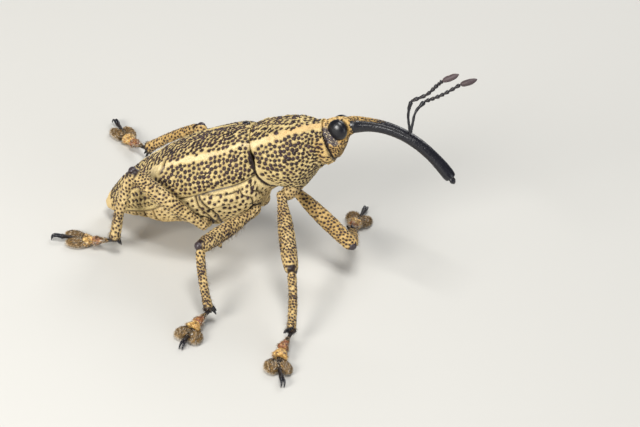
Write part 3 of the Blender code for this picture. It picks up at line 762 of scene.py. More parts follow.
@dataclass
class Dress:
    """A skin with what grows on it: its grains, the cracks that join them, and its scales."""

    skin: Skin
    island: Island
    seed: int
    fine: float = 0.12  # the skin's own mesh
    depth: float = 0.07  # of the coat, so the skin lies this far inside the solid
    puff: float = 0.075  # how far the coat swells between the grains
    flake: Triple = (0.165, 0.115, 0.032)  # length, width, lift
    flake_gaps: tuple[float, float] = (0.115, 0.105)
    crack_half: float = 0.06
    crack_ends: tuple[float, float] = (-0.02, 0.035)  # how high its foot and its crest lie over the skin
    crack_share: float = 0.62
    crack_reach: float = 1.52  # the longest crack, in sums of its two grains' half sizes

    def __post_init__(self) -> None:
        """Lays out the seams and sows the grains."""
        self.rng = np.random.default_rng(SEED + self.seed)
        self.seams = web_of(self.skin, *self.skin.seams)
        self.grains = self.sow()
        self.stands = self.skin.frame(self.grains.u, self.grains.v)
        self.cracks = self.join_grains()
        self.web = self.lay_web()

    def sow(self) -> Grains:
        """Chooses where the grains stand.

        Returns:
            The grains of the skin.
        """
        at = self.skin.at(*self.skin.rows(0.09, 0.09, self.rng, 0.5))
        gap, long, wide, tall, lean, keep = (
            np.broadcast_to(part, at.u.shape) for part in self.skin.sowing(at, self.rng)
        )
        keep = keep * (self.seams.away(at.points) > 0.03)
        chosen = spaced(at.points, gap, keep, self.rng, SWEEP)
        spread = self.rng.uniform(0.72, 1.25, len(chosen))
        lean = lean[chosen] + self.rng.normal(0.0, 0.35, len(chosen))
        sizes = long[chosen] * spread, wide[chosen] * spread, tall[chosen]
        growths = [Grains(at.u[chosen], at.v[chosen], *sizes, lean), *self.skin.extra_grains(self.rng)]
        return Grains(*(np.concatenate(parts) for parts in zip(*growths)))

    def join_grains(self) -> Array:
        """Finds neighbours that a crack joins.

        Returns:
            Pairs of grain numbers.
        """
        size = np.maximum(self.grains.long, self.grains.wide)
        tree = Web(self.stands.points, size).tree
        pairs = []
        for i, point in enumerate(self.stands.points.tolist()):
            for _, j, gap in tree.find_n(point, 4):
                near = j > i and gap < self.crack_reach * (size[i] + size[j])
                if near and self.rng.random() < self.crack_share:
                    pairs.append((i, j))
        return np.array(pairs, int).reshape(-1, 2)

    def lay_web(self) -> Web:
        """Lays spots over every grain and crack.

        Returns:
            The spots.
        """
        stands, long, wide = self.stands, self.grains.long, self.grains.wide
        turn = (self.grains.lean + np.where(long >= wide, 0.0, math.pi / 2))[:, None]
        axis = stands.along * np.cos(turn) + stands.across * np.sin(turn)
        shorter = np.minimum(long, wide)
        reach = (np.maximum(long, wide) - shorter)[:, None]
        points = [stands.points + axis * reach * share for share in (-1.0, 0.0, 1.0)]
        radii = [shorter * share for share in (0.75, 0.92, 0.75)]
        start, end = (stands.points[part] for part in self.cracks.T)
        for share in (0.25, 0.5, 0.75):
            points.append(start + (end - start) * share)
            radii.append(np.full(len(start), self.crack_half * 0.5))
        return Web(np.concatenate(points), np.concatenate(radii))

    def lift(self, at: Places) -> tuple[Array, Array, Array]:
        """How high the coat's ground lies.

        Args:
            at: places on the skin.

        Returns:
            The height over the skin's own shape, the share of bare dark ground, and the distance
            from the nearest grain or seam.
        """
        away, seam = self.web.away(at.points), self.seams.away(at.points, 1)
        height = -self.depth + self.puff * smooth(away, -0.01, 0.13) * smooth(seam, 0.0, 0.2)
        height = height + self.skin.relief(at) - 0.1 * fall(seam, -0.03, 0.05)
        bare = 1.0 - smooth(away, -0.03, 0.03) * smooth(seam, -0.02, 0.03)
        return height, bare, np.minimum(away, seam)

    def values(self, at: Places, bare: Array | float, away: Array, tone: Array) -> dict[str, Array]:
        """What the coat's finish reads, with painted shade beside the grains and a painted highlight on the crests
        between.

        Args:
            at: places on the skin.
            bare: the share of bare dark ground.
            away: the distance from the nearest grain.
            tone: lighter or darker, from scale to scale.

        Returns:
            The named values.
        """
        marks = self.skin.marks(at)
        # Painted shade and highlight: darker beside the grains, lighter on the crests between them.
        tone = tone + 1.1 * (smooth(away, 0.0, 0.15) - 0.6)
        return {**vars(marks), "bare": np.maximum(bare, marks.bare), "tone": tone}

    def grow(self, piles: Piles, part: str, coat: str) -> None:
        """Adds the skin with all that grows on it.

        Args:
            piles: the pieces.
            part: which skin and grains it belongs to.
            coat: which coat its scales belong to.
        """
        self.add_skin(piles["skin_" + part])
        self.add_grains(piles["grains_" + part])
        self.add_cracks(piles["grains_" + part])
        self.add_flakes(piles["coat_" + coat])

    def add_skin(self, pile: Pile) -> None:
        """Adds the skin itself.

        Args:
            pile: its piece.
        """
        u, v = self.skin.lattice(self.fine)
        at = self.skin.frame(u.ravel(), v.ravel())
        height, bare, away = self.lift(at)
        points = at.points + at.outward * height[:, None]
        values = self.values(at, bare, away, 0.12 * ripple(points, 1.1, self.seed) - 0.25)
        self.skin.add_mesh(pile, self.island, at, u.shape[1], points, values)

    def add_grains(self, pile: Pile) -> None:
        """Adds the grains, each an irregular low dome.

        Args:
            pile: their piece.
        """
        stands, skin, rng = self.stands, self.skin, self.rng
        long, wide, tall, lean = (part[:, None] for part in self.grains[2:])
        ring = np.ones((len(long), GRAIN_SIDES))
        turns = 2 * math.pi * (np.arange(GRAIN_SIDES) + rng.uniform(-0.3, 0.3, ring.shape)) / GRAIN_SIDES
        sides = rng.choice((3, 4), long.shape)
        reach = 1.04 + 0.2 * np.cos(sides * turns + rng.uniform(0.0, 2 * math.pi, long.shape))
        reach = reach + rng.uniform(-0.2, 0.2, ring.shape)
        a, b = long * np.cos(turns) * reach, wide * np.sin(turns) * reach
        a, b = a * np.cos(lean) - b * np.sin(lean), a * np.sin(lean) + b * np.cos(lean)
        a, b = (np.concatenate((part * 1.04, part * 0.74, 0.0 * long), 1) for part in (a, b))
        size_u, size_v = skin.scale(stands.u, stands.v)
        u = np.clip(stands.u[:, None] + a / size_u[:, None], *skin.u_span)
        v = skin.hold(stands.v[:, None] + b / size_v[:, None])
        corners = skin.frame(u.ravel(), v.ravel())
        rise = np.concatenate((-0.06 * ring, 0.72 * tall * ring, tall), 1)
        rise = rise + rng.normal(0.0, 0.008, rise.shape) - self.depth + skin.relief(stands)[:, None]
        points = skin.to_scene(corners.points + corners.outward * rise.reshape(-1, 1))
        points = points.reshape(-1, 2 * GRAIN_SIDES + 1, 3)
        roots = self.island.spread(skin, stands.u, stands.v)
        tone = rng.random(len(long))
        pile.add_copies(points, grain_shape()[:, :: skin.hand], {"tone": tone}, roots)

    def add_cracks(self, pile: Pile) -> None:
        """Adds the thin dark cracks between joined grains.

        Args:
            pile: their piece.
        """
        skin, rng = self.skin, self.rng
        one, other = (self.stands.kept(part) for part in self.cracks.T)
        outward = unit(one.outward + other.outward)
        side = unit(np.cross(outward, other.points - one.points))
        column = (len(side), 1)
        half = side * self.crack_half * rng.uniform(0.7, 1.3, column)
        middle = one.points + (other.points - one.points) * rng.uniform(0.4, 0.6, column)
        middle = middle + side * rng.normal(0.0, 0.03, column)
        rise = outward * -self.depth
        base = (one.points, middle - half, other.points, middle + half)
        foot, crest = (rise + outward * height for height in self.crack_ends)
        points = skin.to_scene(np.stack((*(part + foot for part in base), middle + crest), 1))
        tone = rng.random(len(side)) * 0.4
        pile.add_copies(points, CRACK_SHAPE, {"tone": tone}, self.island.spread(skin, one.u, one.v))

    def add_flakes(self, pile: Pile) -> None:
        """Adds the scales, which lie over the skin in staggered rows and point backwards.

        Args:
            pile: their piece.
        """
        skin, rng = self.skin, self.rng
        at = skin.frame(*skin.rows(*self.flake_gaps, rng, 0.42))
        height, _, away = self.lift(at)
        keep = (away > 0.02) & (rng.random(len(away)) < skin.scaled(at))
        at, height, away = at.kept(keep), height[keep, None], away[keep]
        column = (len(away), 1)
        yaw = rng.normal(0.0, 0.3, column)
        back = (at.along * np.cos(yaw) + at.across * np.sin(yaw)) * skin.lie
        side = unit(np.cross(at.outward, back))
        size = rng.uniform(0.8, 1.2, column) * (0.7 + 0.3 * smooth(away, 0.03, 0.12))[:, None]
        a, b = (FLAKE_OUTLINE[:, k] * self.flake[k] * size for k in (0, 1))
        rise = FLAKE_HEIGHTS * self.flake[2] * rng.uniform(0.6, 1.3, column) + height
        steps = ((back, a), (side, b), (at.outward, rise))
        corners = at.points[:, None] + sum(way[:, None] * step[..., None] for way, step in steps)
        tone = rng.normal(0.0, 0.4, len(away)) + 0.25 * ripple(at.points, 1.4, self.seed + 5)
        values = self.values(at, 0.0, away, tone)
        pile.add_copies(skin.to_scene(corners), FLAKE_SHAPE, values, self.island.spread(skin, at.u, at.v))


@dataclass
class Elytron(Skin):
    """The outer skin of one wing case. v is the turn, in degrees, from the edge to the seam at 90."""

    side: Side
    half_width: Profile = Profile((
        (-0.45, 0.62), (0.0, 1.12), (1.0, 1.98), (2.0, 2.65), (4.0, 3.6), (6.0, 4.28),
        (8.0, 4.72), (10.5, 5.0), (13.0, 5.05), (14.4, 4.92), (15.2, 4.56), (15.6, 4.2),
    ))
    top: Profile = Profile((
        (-0.45, 0.12), (0.0, 0.55), (1.0, 1.37), (2.0, 1.94), (4.0, 2.75), (6.0, 3.3),
        (8.0, 3.7), (10.0, 3.95), (12.0, 3.93), (14.0, 3.84), (15.1, 3.64), (15.6, 3.42),
    ))
    edge: Profile = Profile((
        (-0.45, -0.7), (0.0, -0.9), (1.8, -1.1), (4.5, -1.42), (5.8, -1.2), (7.5, -1.0),
        (10.0, -1.02), (13.0, -1.08), (14.2, -0.98), (15.6, -0.65),
    ))
    swellings: Table = ((14.3, 1.0, 0.9, 0.18), (6.6, 1.4, 0.8, 0.28))
    edge_turn: float = -25.0
    back_x: float = -0.45
    front_x: float = 15.6
    roll: float = 0.3  # how much of u the rounded ends take
    fullness: tuple[float, float] = (0.9, 0.92)  # of the cross section, across and upwards
    tuck: float = 0.35  # how far the shell turns in under its edge
    seam_half: float = 0.015
    seam_dip: float = 0.09
    tip_height: float = -0.3
    patch_middle: tuple[float, float] = (5.9, 36.0)  # of the pale patch behind the rear swelling
    patch_reach: tuple[float, float] = (1.1, 14.0)
    rows_turn: float = 3.0  # the turn of the upper row of pits, in degrees
    rows_apart: float = 10.0
    shoulder: tuple[float, float] = (15.4, 15.5)  # where the bare dark shoulder starts
    shoulder_turns: tuple[float, float] = (17.0, 31.0)
    grain_turns: tuple[float, float] = (-23.5, 88.5)
    likely: float = 0.985  # how likely a grain is to grow
    stripe: Line = Line((
        (15.9, 34.6), (15.4, 34.6), (14.37, 34.4), (13.4, 33.1), (12.46, 31.9), (11.5, 32.7),
        (10.53, 33.4), (8.89, 35.4), (7.79, 36.0), (6.9, 36.4),
    ), 0.3)
    fold: Line = Line((
        (7.3, 52.0), (7.22, 48.5), (7.12, 43.1), (7.06, 35.8), (6.82, 31.9), (6.59, 28.5),
    ), 0.12)
    # Grains: gap, half length, half width, height and lean on the sides, and what is added on the
    # back, at the rear, on the rear sides, and low down at the rear
    growth: Table = (
        (0.41, 0.22, 0.19, 0.07, 0.7), (-0.03, 0.03, -0.03, 0.03, 0.25), (0.0, 0.01, -0.055, 0.0, 0.1),
        (-0.05, 0.0, 0.0, 0.0, 0.0), (0.02, -0.07, -0.035, 0.0, 0.0),
    )
    # Rows of grains: first and last x, first and last turn, gap, half length, half width
    rows_behind: Table = (
        (1.7, 5.4, 13.8, 13.5, 0.46, 0.14, 0.27), (1.5, 5.6, 3.2, 3.8, 0.42, 0.135, 0.22),
        (1.5, 5.8, -7.0, -6.0, 0.4, 0.11, 0.17), (1.8, 5.6, -15.0, -14.0, 0.36, 0.08, 0.12),
    )

    def __post_init__(self) -> None:
        """Sets the spans and the seams."""
        self.u_span = (self.back_x - self.roll, self.front_x + self.roll)
        self.v_span = (-45.0, 90.0)
        self.seams = (self.fold,)
        self.hand = -self.side.value
        self.stripe_web, self.fold_web = web_of(self, self.stripe), web_of(self, self.fold)

    def place(self, u: Array, v: Array) -> Array:
        """Points of the wing case, rounded in at the tip, at the base and under the edge.

        Args:
            u: places along the skin.
            v: places round it.

        Returns:
            The points in the skin's own axes.
        """
        x = np.clip(u, self.back_x, self.front_x)
        half, top, edge = self.half_width(x), self.top(x), self.edge(x)
        waist = edge + 0.2 * (top - edge)
        turn = np.radians(np.maximum(v, self.edge_turn))
        under = np.clip((self.edge_turn - v) / 20.0, 0.0, 1.0)
        y = half * power(np.cos(turn), self.fullness[0])
        low = waist + (waist - edge) * np.sin(turn) / math.sin(math.radians(-self.edge_turn))
        z = np.where(turn >= 0, waist + (top - waist) * power(np.sin(turn), self.fullness[1]), low)
        for centre_x, centre_z, reach, height in self.swellings:
            push = height * bell(x, centre_x, reach) * bell(z, centre_z, reach)
            y, z = y + push * np.cos(turn), z + push * np.sin(turn)
        y = np.maximum(y, self.seam_half) - self.tuck * under
        z = z - 0.1 * np.sin(math.pi * under) - self.seam_dip * bell(y, 0.0, 0.09)
        tip = np.clip((self.back_x - u) / self.roll, 0.0, 1.0) * math.pi / 2
        base = np.clip((u - self.front_x) / self.roll, 0.0, 1.0)
        x = x - 0.2 * np.sin(tip) + 0.1 * np.sin(math.pi * base)
        y = y * np.cos(tip) * (1 - 0.1 * base**2)
        z = self.tip_height + (z - self.tip_height) * np.cos(tip) * (1 - 0.1 * base**2)
        return np.stack((x, self.side.value * y, z), -1)

    def marks(self, at: Places) -> Marks:
        """The pale stripe, the golden rear sides and the smooth tip.

        Args:
            at: places on the skin.

        Returns:
            The shares at each place.
        """
        ragged = 0.1 * ripple(at.points, 0.8, 9) + 0.06 * ripple(at.points, 2.4, 10)
        stripe = 1.0 - smooth(self.stripe_web.away(at.points, 1) + ragged, -0.1, 0.06)
        thin = 0.55 + 0.45 * smooth(np.abs(at.u - 13.4), 0.3, 1.2)
        patch = self.patch(at)
        knob = fall(at.u, 0.1, 0.5)
        gold = 0.3 * fall(at.u, 5.5, 9.5) * fall(at.v, -2.0, 26.0) * (1 - self.row_band(at))
        gold = np.maximum(gold, 0.3 * knob)
        # The dark low shoulder is partly bare shell and partly painted shade of the gap under the fore body's hind
        # margin.
        shoulder = smooth(at.u + 0.04 * ripple(at.points, 0.7, 19), *self.shoulder)
        shoulder = shoulder * (1 - smooth(at.v, *self.shoulder_turns))
        return Marks(np.clip(stripe * thin + 0.8 * patch + 0.5 * knob, 0, 1), gold, shoulder)

    def patch(self, at: Places) -> Array:
        """The share of the pale patch behind the rear swelling."""
        (x, turn), (far, wide) = self.patch_middle, self.patch_reach
        return bell(at.u, x, far) * bell(at.v, turn, wide)

    def relief(self, at: Places) -> Array:
        """Long low waves, a fold behind the rear swelling and a raised stripe.

        Args:
            at: places on the skin.

        Returns:
            The height at each place.
        """
        wave = 0.03 * ripple(at.points * (0.6, 1.0, 1.0), 1.6, 3)
        fold = self.fold_web.away(at.points, 1)
        stripe = 1.0 - smooth(self.stripe_web.away(at.points, 1), -0.2, 0.2)
        rows = self.row_band(at)
        ridges = 0.035 * np.cos((at.v - self.rows_turn) * 2 * math.pi / self.rows_apart) * rows
        return wave * (1 - rows) - 0.09 * (1 - smooth(fold, -0.02, 0.16)) + 0.03 * stripe - ridges

    def row_band(self, at: Places) -> Array:
        """The share of the low rear field where the grains stand in rows."""
        return smooth(at.u, 1.1, 1.7) * fall(at.u, 5.1, 5.9) * fall(at.v, 18.0, 24.0)

    def scaled(self, at: Places) -> Array:
        """Scales everywhere outside but the smooth tip."""
        return smooth(at.u, -0.25, 0.05) * (at.v > -28.0)

    def sowing(self, at: Places, rng: Rng) -> Sowing:
        """Round grains on the sides, crowded ones over the back, and narrow slanting ones at the rear.

        Args:
            at: places on the skin.
            rng: where the strays come from.

        Returns:
            The growth at each place.
        """
        top, rear = smooth(at.v, 42.0, 60.0), fall(at.u, 5.6, 7.8)
        small = fall(at.v, -4.0, 14.0) * fall(at.u, 7.0, 10.5)
        gap, long, wide, tall, lean = blended(self.growth, top, rear, rear * (1 - top), small)
        gap = gap * rng.choice(GAP_STRAYS, len(at.u))
        striped = smooth(self.marks(at).stripe, 0.2, 0.6)
        low_turn, high_turn = self.grain_turns
        keep = self.likely * (1.0 - (0.93 - 0.5 * smooth(self.patch(at), 0.3, 0.6)) * striped)
        keep = keep * (self.row_band(at) < 0.4) * (at.v > low_turn) * (at.v < high_turn)
        keep = keep * smooth(at.u, 0.1, 0.3) * (at.u < self.front_x + 0.12)
        shrink = 1 - 0.45 * striped
        return Sowing(gap, long * shrink, wide * shrink, tall, lean, keep)

    def extra_grains(self, rng: Rng) -> list[Grains]:
        """The rows of grains on the low rear field.

        Args:
            rng: where the strays come from.

        Returns:
            The grains, row by row.
        """
        rows = []
        for first, last, start, end, gap, long, wide in self.rows_behind:
            count = int((last - first) / gap)
            share = (np.arange(count) + rng.uniform(-0.15, 0.15, count)) / count
            size = rng.uniform(0.8, 1.15, count)
            tall, lean = np.full(count, 0.06), np.full(count, 0.25)
            u, v = first + (last - first) * share, start + (end - start) * share
            rows.append(Grains(u, v, long * size, wide * size, tall, lean))
        return rows


def hip_rim(points: Array, *pairs: str) -> Array:
    """The share of bare dark ground round the hips that come out of a skin.

    Args:
        points: places on the skin.
        pairs: the pairs of legs whose hips come out there.

    Returns:
        A share for each place.
    """
    rim = np.zeros(len(points))
    right = np.stack((points[:, 0], -np.abs(points[:, 1]), points[:, 2]), 1)
    for pair in pairs:
        centre, half, _ = (np.array(part) for part in HIPS[pair])
        share = np.linalg.norm((right - centre) / (half * HIP_SWELL), axis=1)
        rim = np.maximum(rim, 1 - smooth(share, 1.14, 1.28))
    return rim


@dataclass
class Underside(Skin):
    """The skin below the wing cases. v is the turn, in degrees, from the left side at 0 to 180."""

    low: Profile = Profile((
        (0.9, -1.4), (2.3, -2.0), (3.2, -2.42), (3.9, -2.85), (4.6, -3.3), (5.6, -3.62), (6.8, -3.95),
        (8.4, -4.6), (10.0, -4.95), (12.5, -4.95), (13.8, -4.7), (14.8, -4.0), (15.6, -3.2), (17.3, -2.9),
    ))
    half_width: Profile = Profile((
        (0.9, 1.5), (2.0, 2.3), (4.0, 3.2), (6.0, 3.8), (8.0, 4.2), (10.5, 4.5), (13.0, 4.5),
        (14.8, 4.1), (15.6, 3.5), (17.3, 2.8),
    ))
    edge: Profile = Elytron.edge
    gap: float = 0.3
    seams_across: tuple[float, ...] = (2.7, 3.6, 4.6, 6.7)
    seam_step: float = 0.14
    seam_half: float = 0.12
    plates: Table = ((9.7, 13.1, -2.7, -1.5), (13.6, 15.1, -3.2, -1.4))
    plate_lift: float = 0.16
    plate_soft: float = 0.2
    fullness: float = 0.86  # of the cross section
    inner_turn: float = 14.0  # how far round the skin runs up behind the wing cases
    inner_rise: float = 0.55
    margin_x: float = 15.9  # where the fore body's hind margin lies, about
    # Grains: gap, half length, half width, height and lean, and what is added behind and in the middle
    growth: Table = (
        (0.5, 0.2, 0.15, 0.05, 0.5), (-0.07, -0.09, -0.06, 0.0, 0.0), (-0.06, -0.04, -0.03, 0.0, 0.0),
    )
    ridge_x: float = 9.75
    margin: Profile = Profile((
        (-3.7, 1.4), (-2.78, 1.15), (-2.2, 0.55), (-0.39, 0.02), (0.63, 0.2), (2.31, 0.12),
    ))
    hind_hip: tuple[Line, ...] = (
        Line((
            (9.75, 181.0), (9.75, 178.3), (9.95, 170.7), (10.45, 155.4), (10.71, 141.5), (10.51, 125.8),
            (10.3, 104.0), (10.2, 90.0),
        ), 0.1),
        Line((
            (9.42, 181.0), (9.35, 168.3), (9.52, 159.2), (9.91, 146.7), (10.01, 133.8), (10.0, 115.0),
        ), 0.075),
    )
    side_seams: tuple[Line, ...] = (
        Line(((7.85, 188.0), (9.48, 187.5), (10.11, 186.8)), 0.05),
        Line(((13.74, 176.0), (13.87, 165.8), (14.31, 157.1), (14.54, 150.5)), 0.06),
        Line(((14.54, 150.5), (14.27, 136.3), (13.84, 118.2)), 0.07),
        Line(((10.08, 182.0), (11.4, 177.0), (12.6, 174.5), (13.74, 174.2)), 0.045),
        Line(((15.0, 179.0), (14.8, 165.0), (15.2, 150.0), (15.3, 130.0)), 0.07),
    )

    def __post_init__(self) -> None:
        """Sets the spans and the seams."""
        self.u_span = (0.7, 17.3)
        self.v_span = (-self.inner_turn, 180.0 + self.inner_turn)
        self.mirrored = True
        rings = tuple(Line(tuple((x, v) for v in range(90, 185, 10)), 0.05) for x in self.seams_across)
        self.seams = rings + self.hind_hip + self.side_seams

    def place(self, u: Array, v: Array) -> Array:
        """Points of the underside, which runs on up behind the wing cases' edges.

        Args:
            u: places along the skin.
            v: places round it.

        Returns:
            The points in the skin's own axes.
        """
        inside = np.maximum(-v, v - 180.0)
        turn = np.radians(np.clip(v, 0.0, 180.0))
        half, low, roof = self.half_width(u), self.low(u), self.edge(u) - self.gap
        across = np.cos(turn)
        y = half * power(across, self.fullness)
        z = roof - (roof - low) * power(np.sin(turn), self.fullness)
        shrink = np.zeros_like(z)
        for seam in self.seams_across:
            shrink = np.maximum(shrink, 1.0 - np.abs(u - seam) / self.seam_half)
        lift = -self.seam_step * shrink * np.sin(turn)
        for first, last, bottom, top in self.plates:
            within = smooth(u, first - self.plate_soft, first) * fall(u, last, last + self.plate_soft)
            within = within * smooth(z, bottom - self.plate_soft, bottom)
            lift = lift + self.plate_lift * within * fall(z, top, top + self.plate_soft)
        y, z = y + lift * across, z - lift * np.sin(turn)
        rise = np.clip(inside / self.inner_turn, 0.0, 1.0)
        return np.stack((u, y * (1 - 0.03 * rise), z + self.inner_rise * rise), -1)

    def fore_margin(self, height: Array) -> Array:
        """Where the fore body's hind margin lies over this skin."""
        return self.margin_x + self.margin(height)

    def marks(self, at: Places) -> Marks:
        """Paler than the back, and dark as painted shade where the body goes in under the fore body and up behind the
        wing cases' edges.

        Args:
            at: places on the skin.

        Returns:
            The shares at each place.
        """
        side = smooth(np.abs(at.v - 90.0), 30.0, 70.0)
        gold = 0.25 * fall(at.u, 5.0, 8.0) + 0.2 * (1 - side)
        ahead = at.u - self.fore_margin(at.points[:, 2])
        # Painted shade: a dark band behind the fore body's hind margin, and a dark sheet up behind the wing cases'
        # edges.
        bare = np.maximum(smooth(ahead, -0.62, -0.5), 1.0 - smooth(np.minimum(at.v, 180.0 - at.v), -4.0, 0.0))
        bare = np.maximum(bare, hip_rim(at.points, "mid", "hind"))
        return Marks(0.25 + 0.1 * side, gold * np.ones(len(at.u)), bare)

    def scaled(self, at: Places) -> Array:
        """Scales out to the parts that lie inside others."""
        return (at.u < self.fore_margin(at.points[:, 2]) - 0.5) * (at.u > 1.0) * (np.abs(at.v - 90.0) < 92.0)

    def relief(self, at: Places) -> Array:
        """Low waves, and the swollen ridge between the two seams before each hind hip."""
        ridge = bell(at.u - 0.25 * np.sin(np.radians(at.v)), self.ridge_x, 0.25)
        return 0.03 * ripple(at.points, 1.5, 4) + 0.05 * ridge

    def sowing(self, at: Places, rng: Rng) -> Sowing:
        """Few grains: diamonds on the side plates, and small ones on the belly.

        Args:
            at: places on the skin.
            rng: not used.

        Returns:
            The growth at each place.
        """
        belly = fall(at.u, 8.0, 9.0)
        middle = 1 - smooth(np.abs(at.v - 90.0), 40.0, 60.0)
        keep = 0.95 * (at.u < self.fore_margin(at.points[:, 2]) - 0.7) * (at.u > 1.2)
        keep = keep * (np.abs(at.v - 90.0) < 88.0)
        return Sowing(*blended(self.growth, belly, middle), keep)


class Ring(Skin):
    """A skin all round the body. v is the turn, in degrees, from the left over the top."""

    half_width: Profile
    top: Profile
    under: Profile
    waist: float = 0.52  # where the ring is widest, as a share of its height
    fullness: float = 0.93
    hand = -1
    closed = True

    def ring(self, x: Array, v: Array) -> tuple[Array, Array, Array]:
        """Draws the body's cross sections.

        Args:
            x: where they lie along the body.
            v: places round them.

        Returns:
            The places' y and z, and the height of each one's middle.
        """
        turn = np.radians(v)
        high, low = self.top(x), self.under(x)
        middle = low + self.waist * (high - low)
        up = power(np.sin(turn), self.fullness)
        y = self.half_width(x) * power(np.cos(turn), self.fullness)
        return y, middle + np.where(up > 0, high - middle, middle - low) * up, middle


@dataclass
class ForeBody(Ring):
    """The skin of the fore body."""

    half_width: Profile = Profile((
        (15.7, 3.93), (16.2, 3.98), (17.2, 4.07), (18.6, 3.9), (20.0, 3.4), (21.2, 2.7), (21.8, 2.2),
        (22.3, 2.14),
    ))
    top: Profile = Profile((
        (15.7, 3.3), (16.2, 3.36), (17.2, 3.46), (18.6, 3.3), (19.8, 3.05), (21.0, 2.66), (21.8, 2.17),
        (22.3, 2.08),
    ))
    under: Profile = Profile((
        (15.7, -3.15), (17.5, -3.7), (18.8, -3.7), (19.8, -3.15), (20.7, -2.5), (21.6, -2.2), (22.3, -2.0),
    ))
    # How far forward the hind margin stands at each height
    margin: Profile = Underside.margin
    back_x: float = 15.72
    front_x: float = 22.3
    roll: float = 0.22
    end_bulge: float = 0.08
    end_shrink: float = 0.13
    collar_x: float = 21.4  # the dent behind the collar
    likely: float = 0.985  # how likely a grain is to grow
    stripe: Line = Line((
        (15.6, 148.5), (16.27, 147.5), (16.65, 146.0), (17.75, 144.0), (18.77, 141.5), (20.05, 139.0),
        (21.17, 134.0), (21.83, 127.0), (22.5, 122.0),
    ), 0.36)
    low_seam: Line = Line(((16.4, 236.0), (17.3, 243.0), (18.0, 248.5), (18.45, 252.0), (18.9, 256.0)), 0.09)
    # Grains: gap, half length, half width, height and lean, and what is added low down and in front
    growth: Table = (
        (0.395, 0.215, 0.192, 0.08, 0.5), (-0.02, -0.04, -0.06, 0.0, 0.2), (-0.06, -0.01, -0.065, 0.0, 0.0),
    )
    # Bands of ridges on the back: first and last x, room along a ridge, half length, half width
    ridge_bands: Table = (
        (15.7, 18.3, 0.8, 0.42, 0.115), (18.35, 20.0, 0.62, 0.32, 0.115), (20.05, 22.25, 0.42, 0.21, 0.12),
    )
    ridge_turn: float = 0.7  # how far the ridges turn in towards the middle of the back, in radians
    ridge_gap: float = 0.25
    ridge_reach: float = 43.0

    def __post_init__(self) -> None:
        """Sets the spans and the seams."""
        self.u_span = (self.back_x - self.roll, self.front_x + self.roll)
        self.v_span = (0.0, 360.0)
        self.mirrored = True
        self.seams = (self.low_seam,)
        self.stripe_web = web_of(self, self.stripe)

    def place(self, u: Array, v: Array) -> Array:
        """Points of the fore body, rounded in at both its ends.

        Args:
            u: places along the skin.
            v: places round it.

        Returns:
            The points in the skin's own axes.
        """
        x = np.clip(u, self.back_x, self.front_x)
        y, z, middle = self.ring(x, v)
        rolled = np.clip(np.maximum(self.back_x - u, u - self.front_x) / self.roll, 0.0, 1.0)
        behind = np.where(u < 19.0, -1.0, 1.0)
        x = x + self.margin(z) * fall(u, 16.0, 19.2) + behind * self.end_bulge * np.sin(math.pi * rolled)
        shrink = 1 - self.end_shrink * rolled**2
        return np.stack((x, y * shrink, middle + (z - middle) * shrink), -1)

    def over(self, v: Array) -> Array:
        """How far places lie from the middle of the back, in degrees."""
        return np.abs(np.mod(v - 90.0 + 180.0, 360.0) - 180.0)

    def rear_band(self, at: Places) -> Array:
        """The smooth rim along the low half of the hind margin."""
        over = self.over(at.v)
        return fall(at.u, 15.9, 16.1) * smooth(over, 84.0, 96.0) * fall(over, 140.0, 150.0)

    def marks(self, at: Places) -> Marks:
        """The golden stripe on each side of the back, the pale hind rim and the yellow collar.

        Args:
            at: places on the skin.

        Returns:
            The shares at each place.
        """
        ragged = 0.07 * ripple(at.points, 0.7, 9)
        stripe = 1.0 - smooth(self.stripe_web.away(at.points, 1) + ragged, -0.08, 0.05)
        collar = smooth(at.u, 21.2, 21.7) * smooth(self.over(at.v), 60.0, 90.0)
        low = smooth(self.over(at.v), 110.0, 150.0)
        gold = np.maximum(0.6 * stripe * smooth(at.u, 15.5, 20.0), 0.45 * collar)
        # The rolled ends are dark as painted shade of the gaps: at the front where the head goes in, and at the rear
        # where the fore body meets the wing cases and the body below. The rims round the front hips are dark joints.
        neck = smooth(at.u, self.front_x, self.front_x + 0.12) * smooth(self.over(at.v), 42.0, 66.0)
        ends = np.maximum(fall(at.u, 15.54, 15.62), neck)
        ends = np.maximum(ends, hip_rim(at.points, "front"))
        stripe = np.maximum(stripe, 0.45 * self.rear_band(at))
        return Marks(np.maximum(stripe, 0.25 * low), gold, ends)

    def scaled(self, at: Places) -> Array:
        """Scales on all that shows, thin on the hind rim."""
        return (at.u > 15.58) * ((at.u < 22.38) | (self.over(at.v) < 50.0)) * (1 - 0.8 * self.rear_band(at))

    def relief(self, at: Places) -> Array:
        """Waves, a raised stripe, a ridged back and a dent behind the collar.

        Args:
            at: places on the skin.

        Returns:
            The height at each place.
        """
        stripe = 1.0 - smooth(self.stripe_web.away(at.points, 1), -0.2, 0.25)
        back = 1 - smooth(self.over(at.v), 38.0, 52.0)
        wave = 0.03 * ripple(at.points, 1.4, 6) + 0.03 * back * ripple(at.points * (2.4, 0.7, 0.7), 1.2, 7)
        collar = -0.09 * bell(at.u, self.collar_x, 0.16) * smooth(self.over(at.v), 50.0, 80.0)
        lip = 0.16 * smooth(at.u, 21.5, 21.75) * smooth(self.over(at.v), 90.0, 125.0)
        return wave + 0.03 * stripe + collar + lip

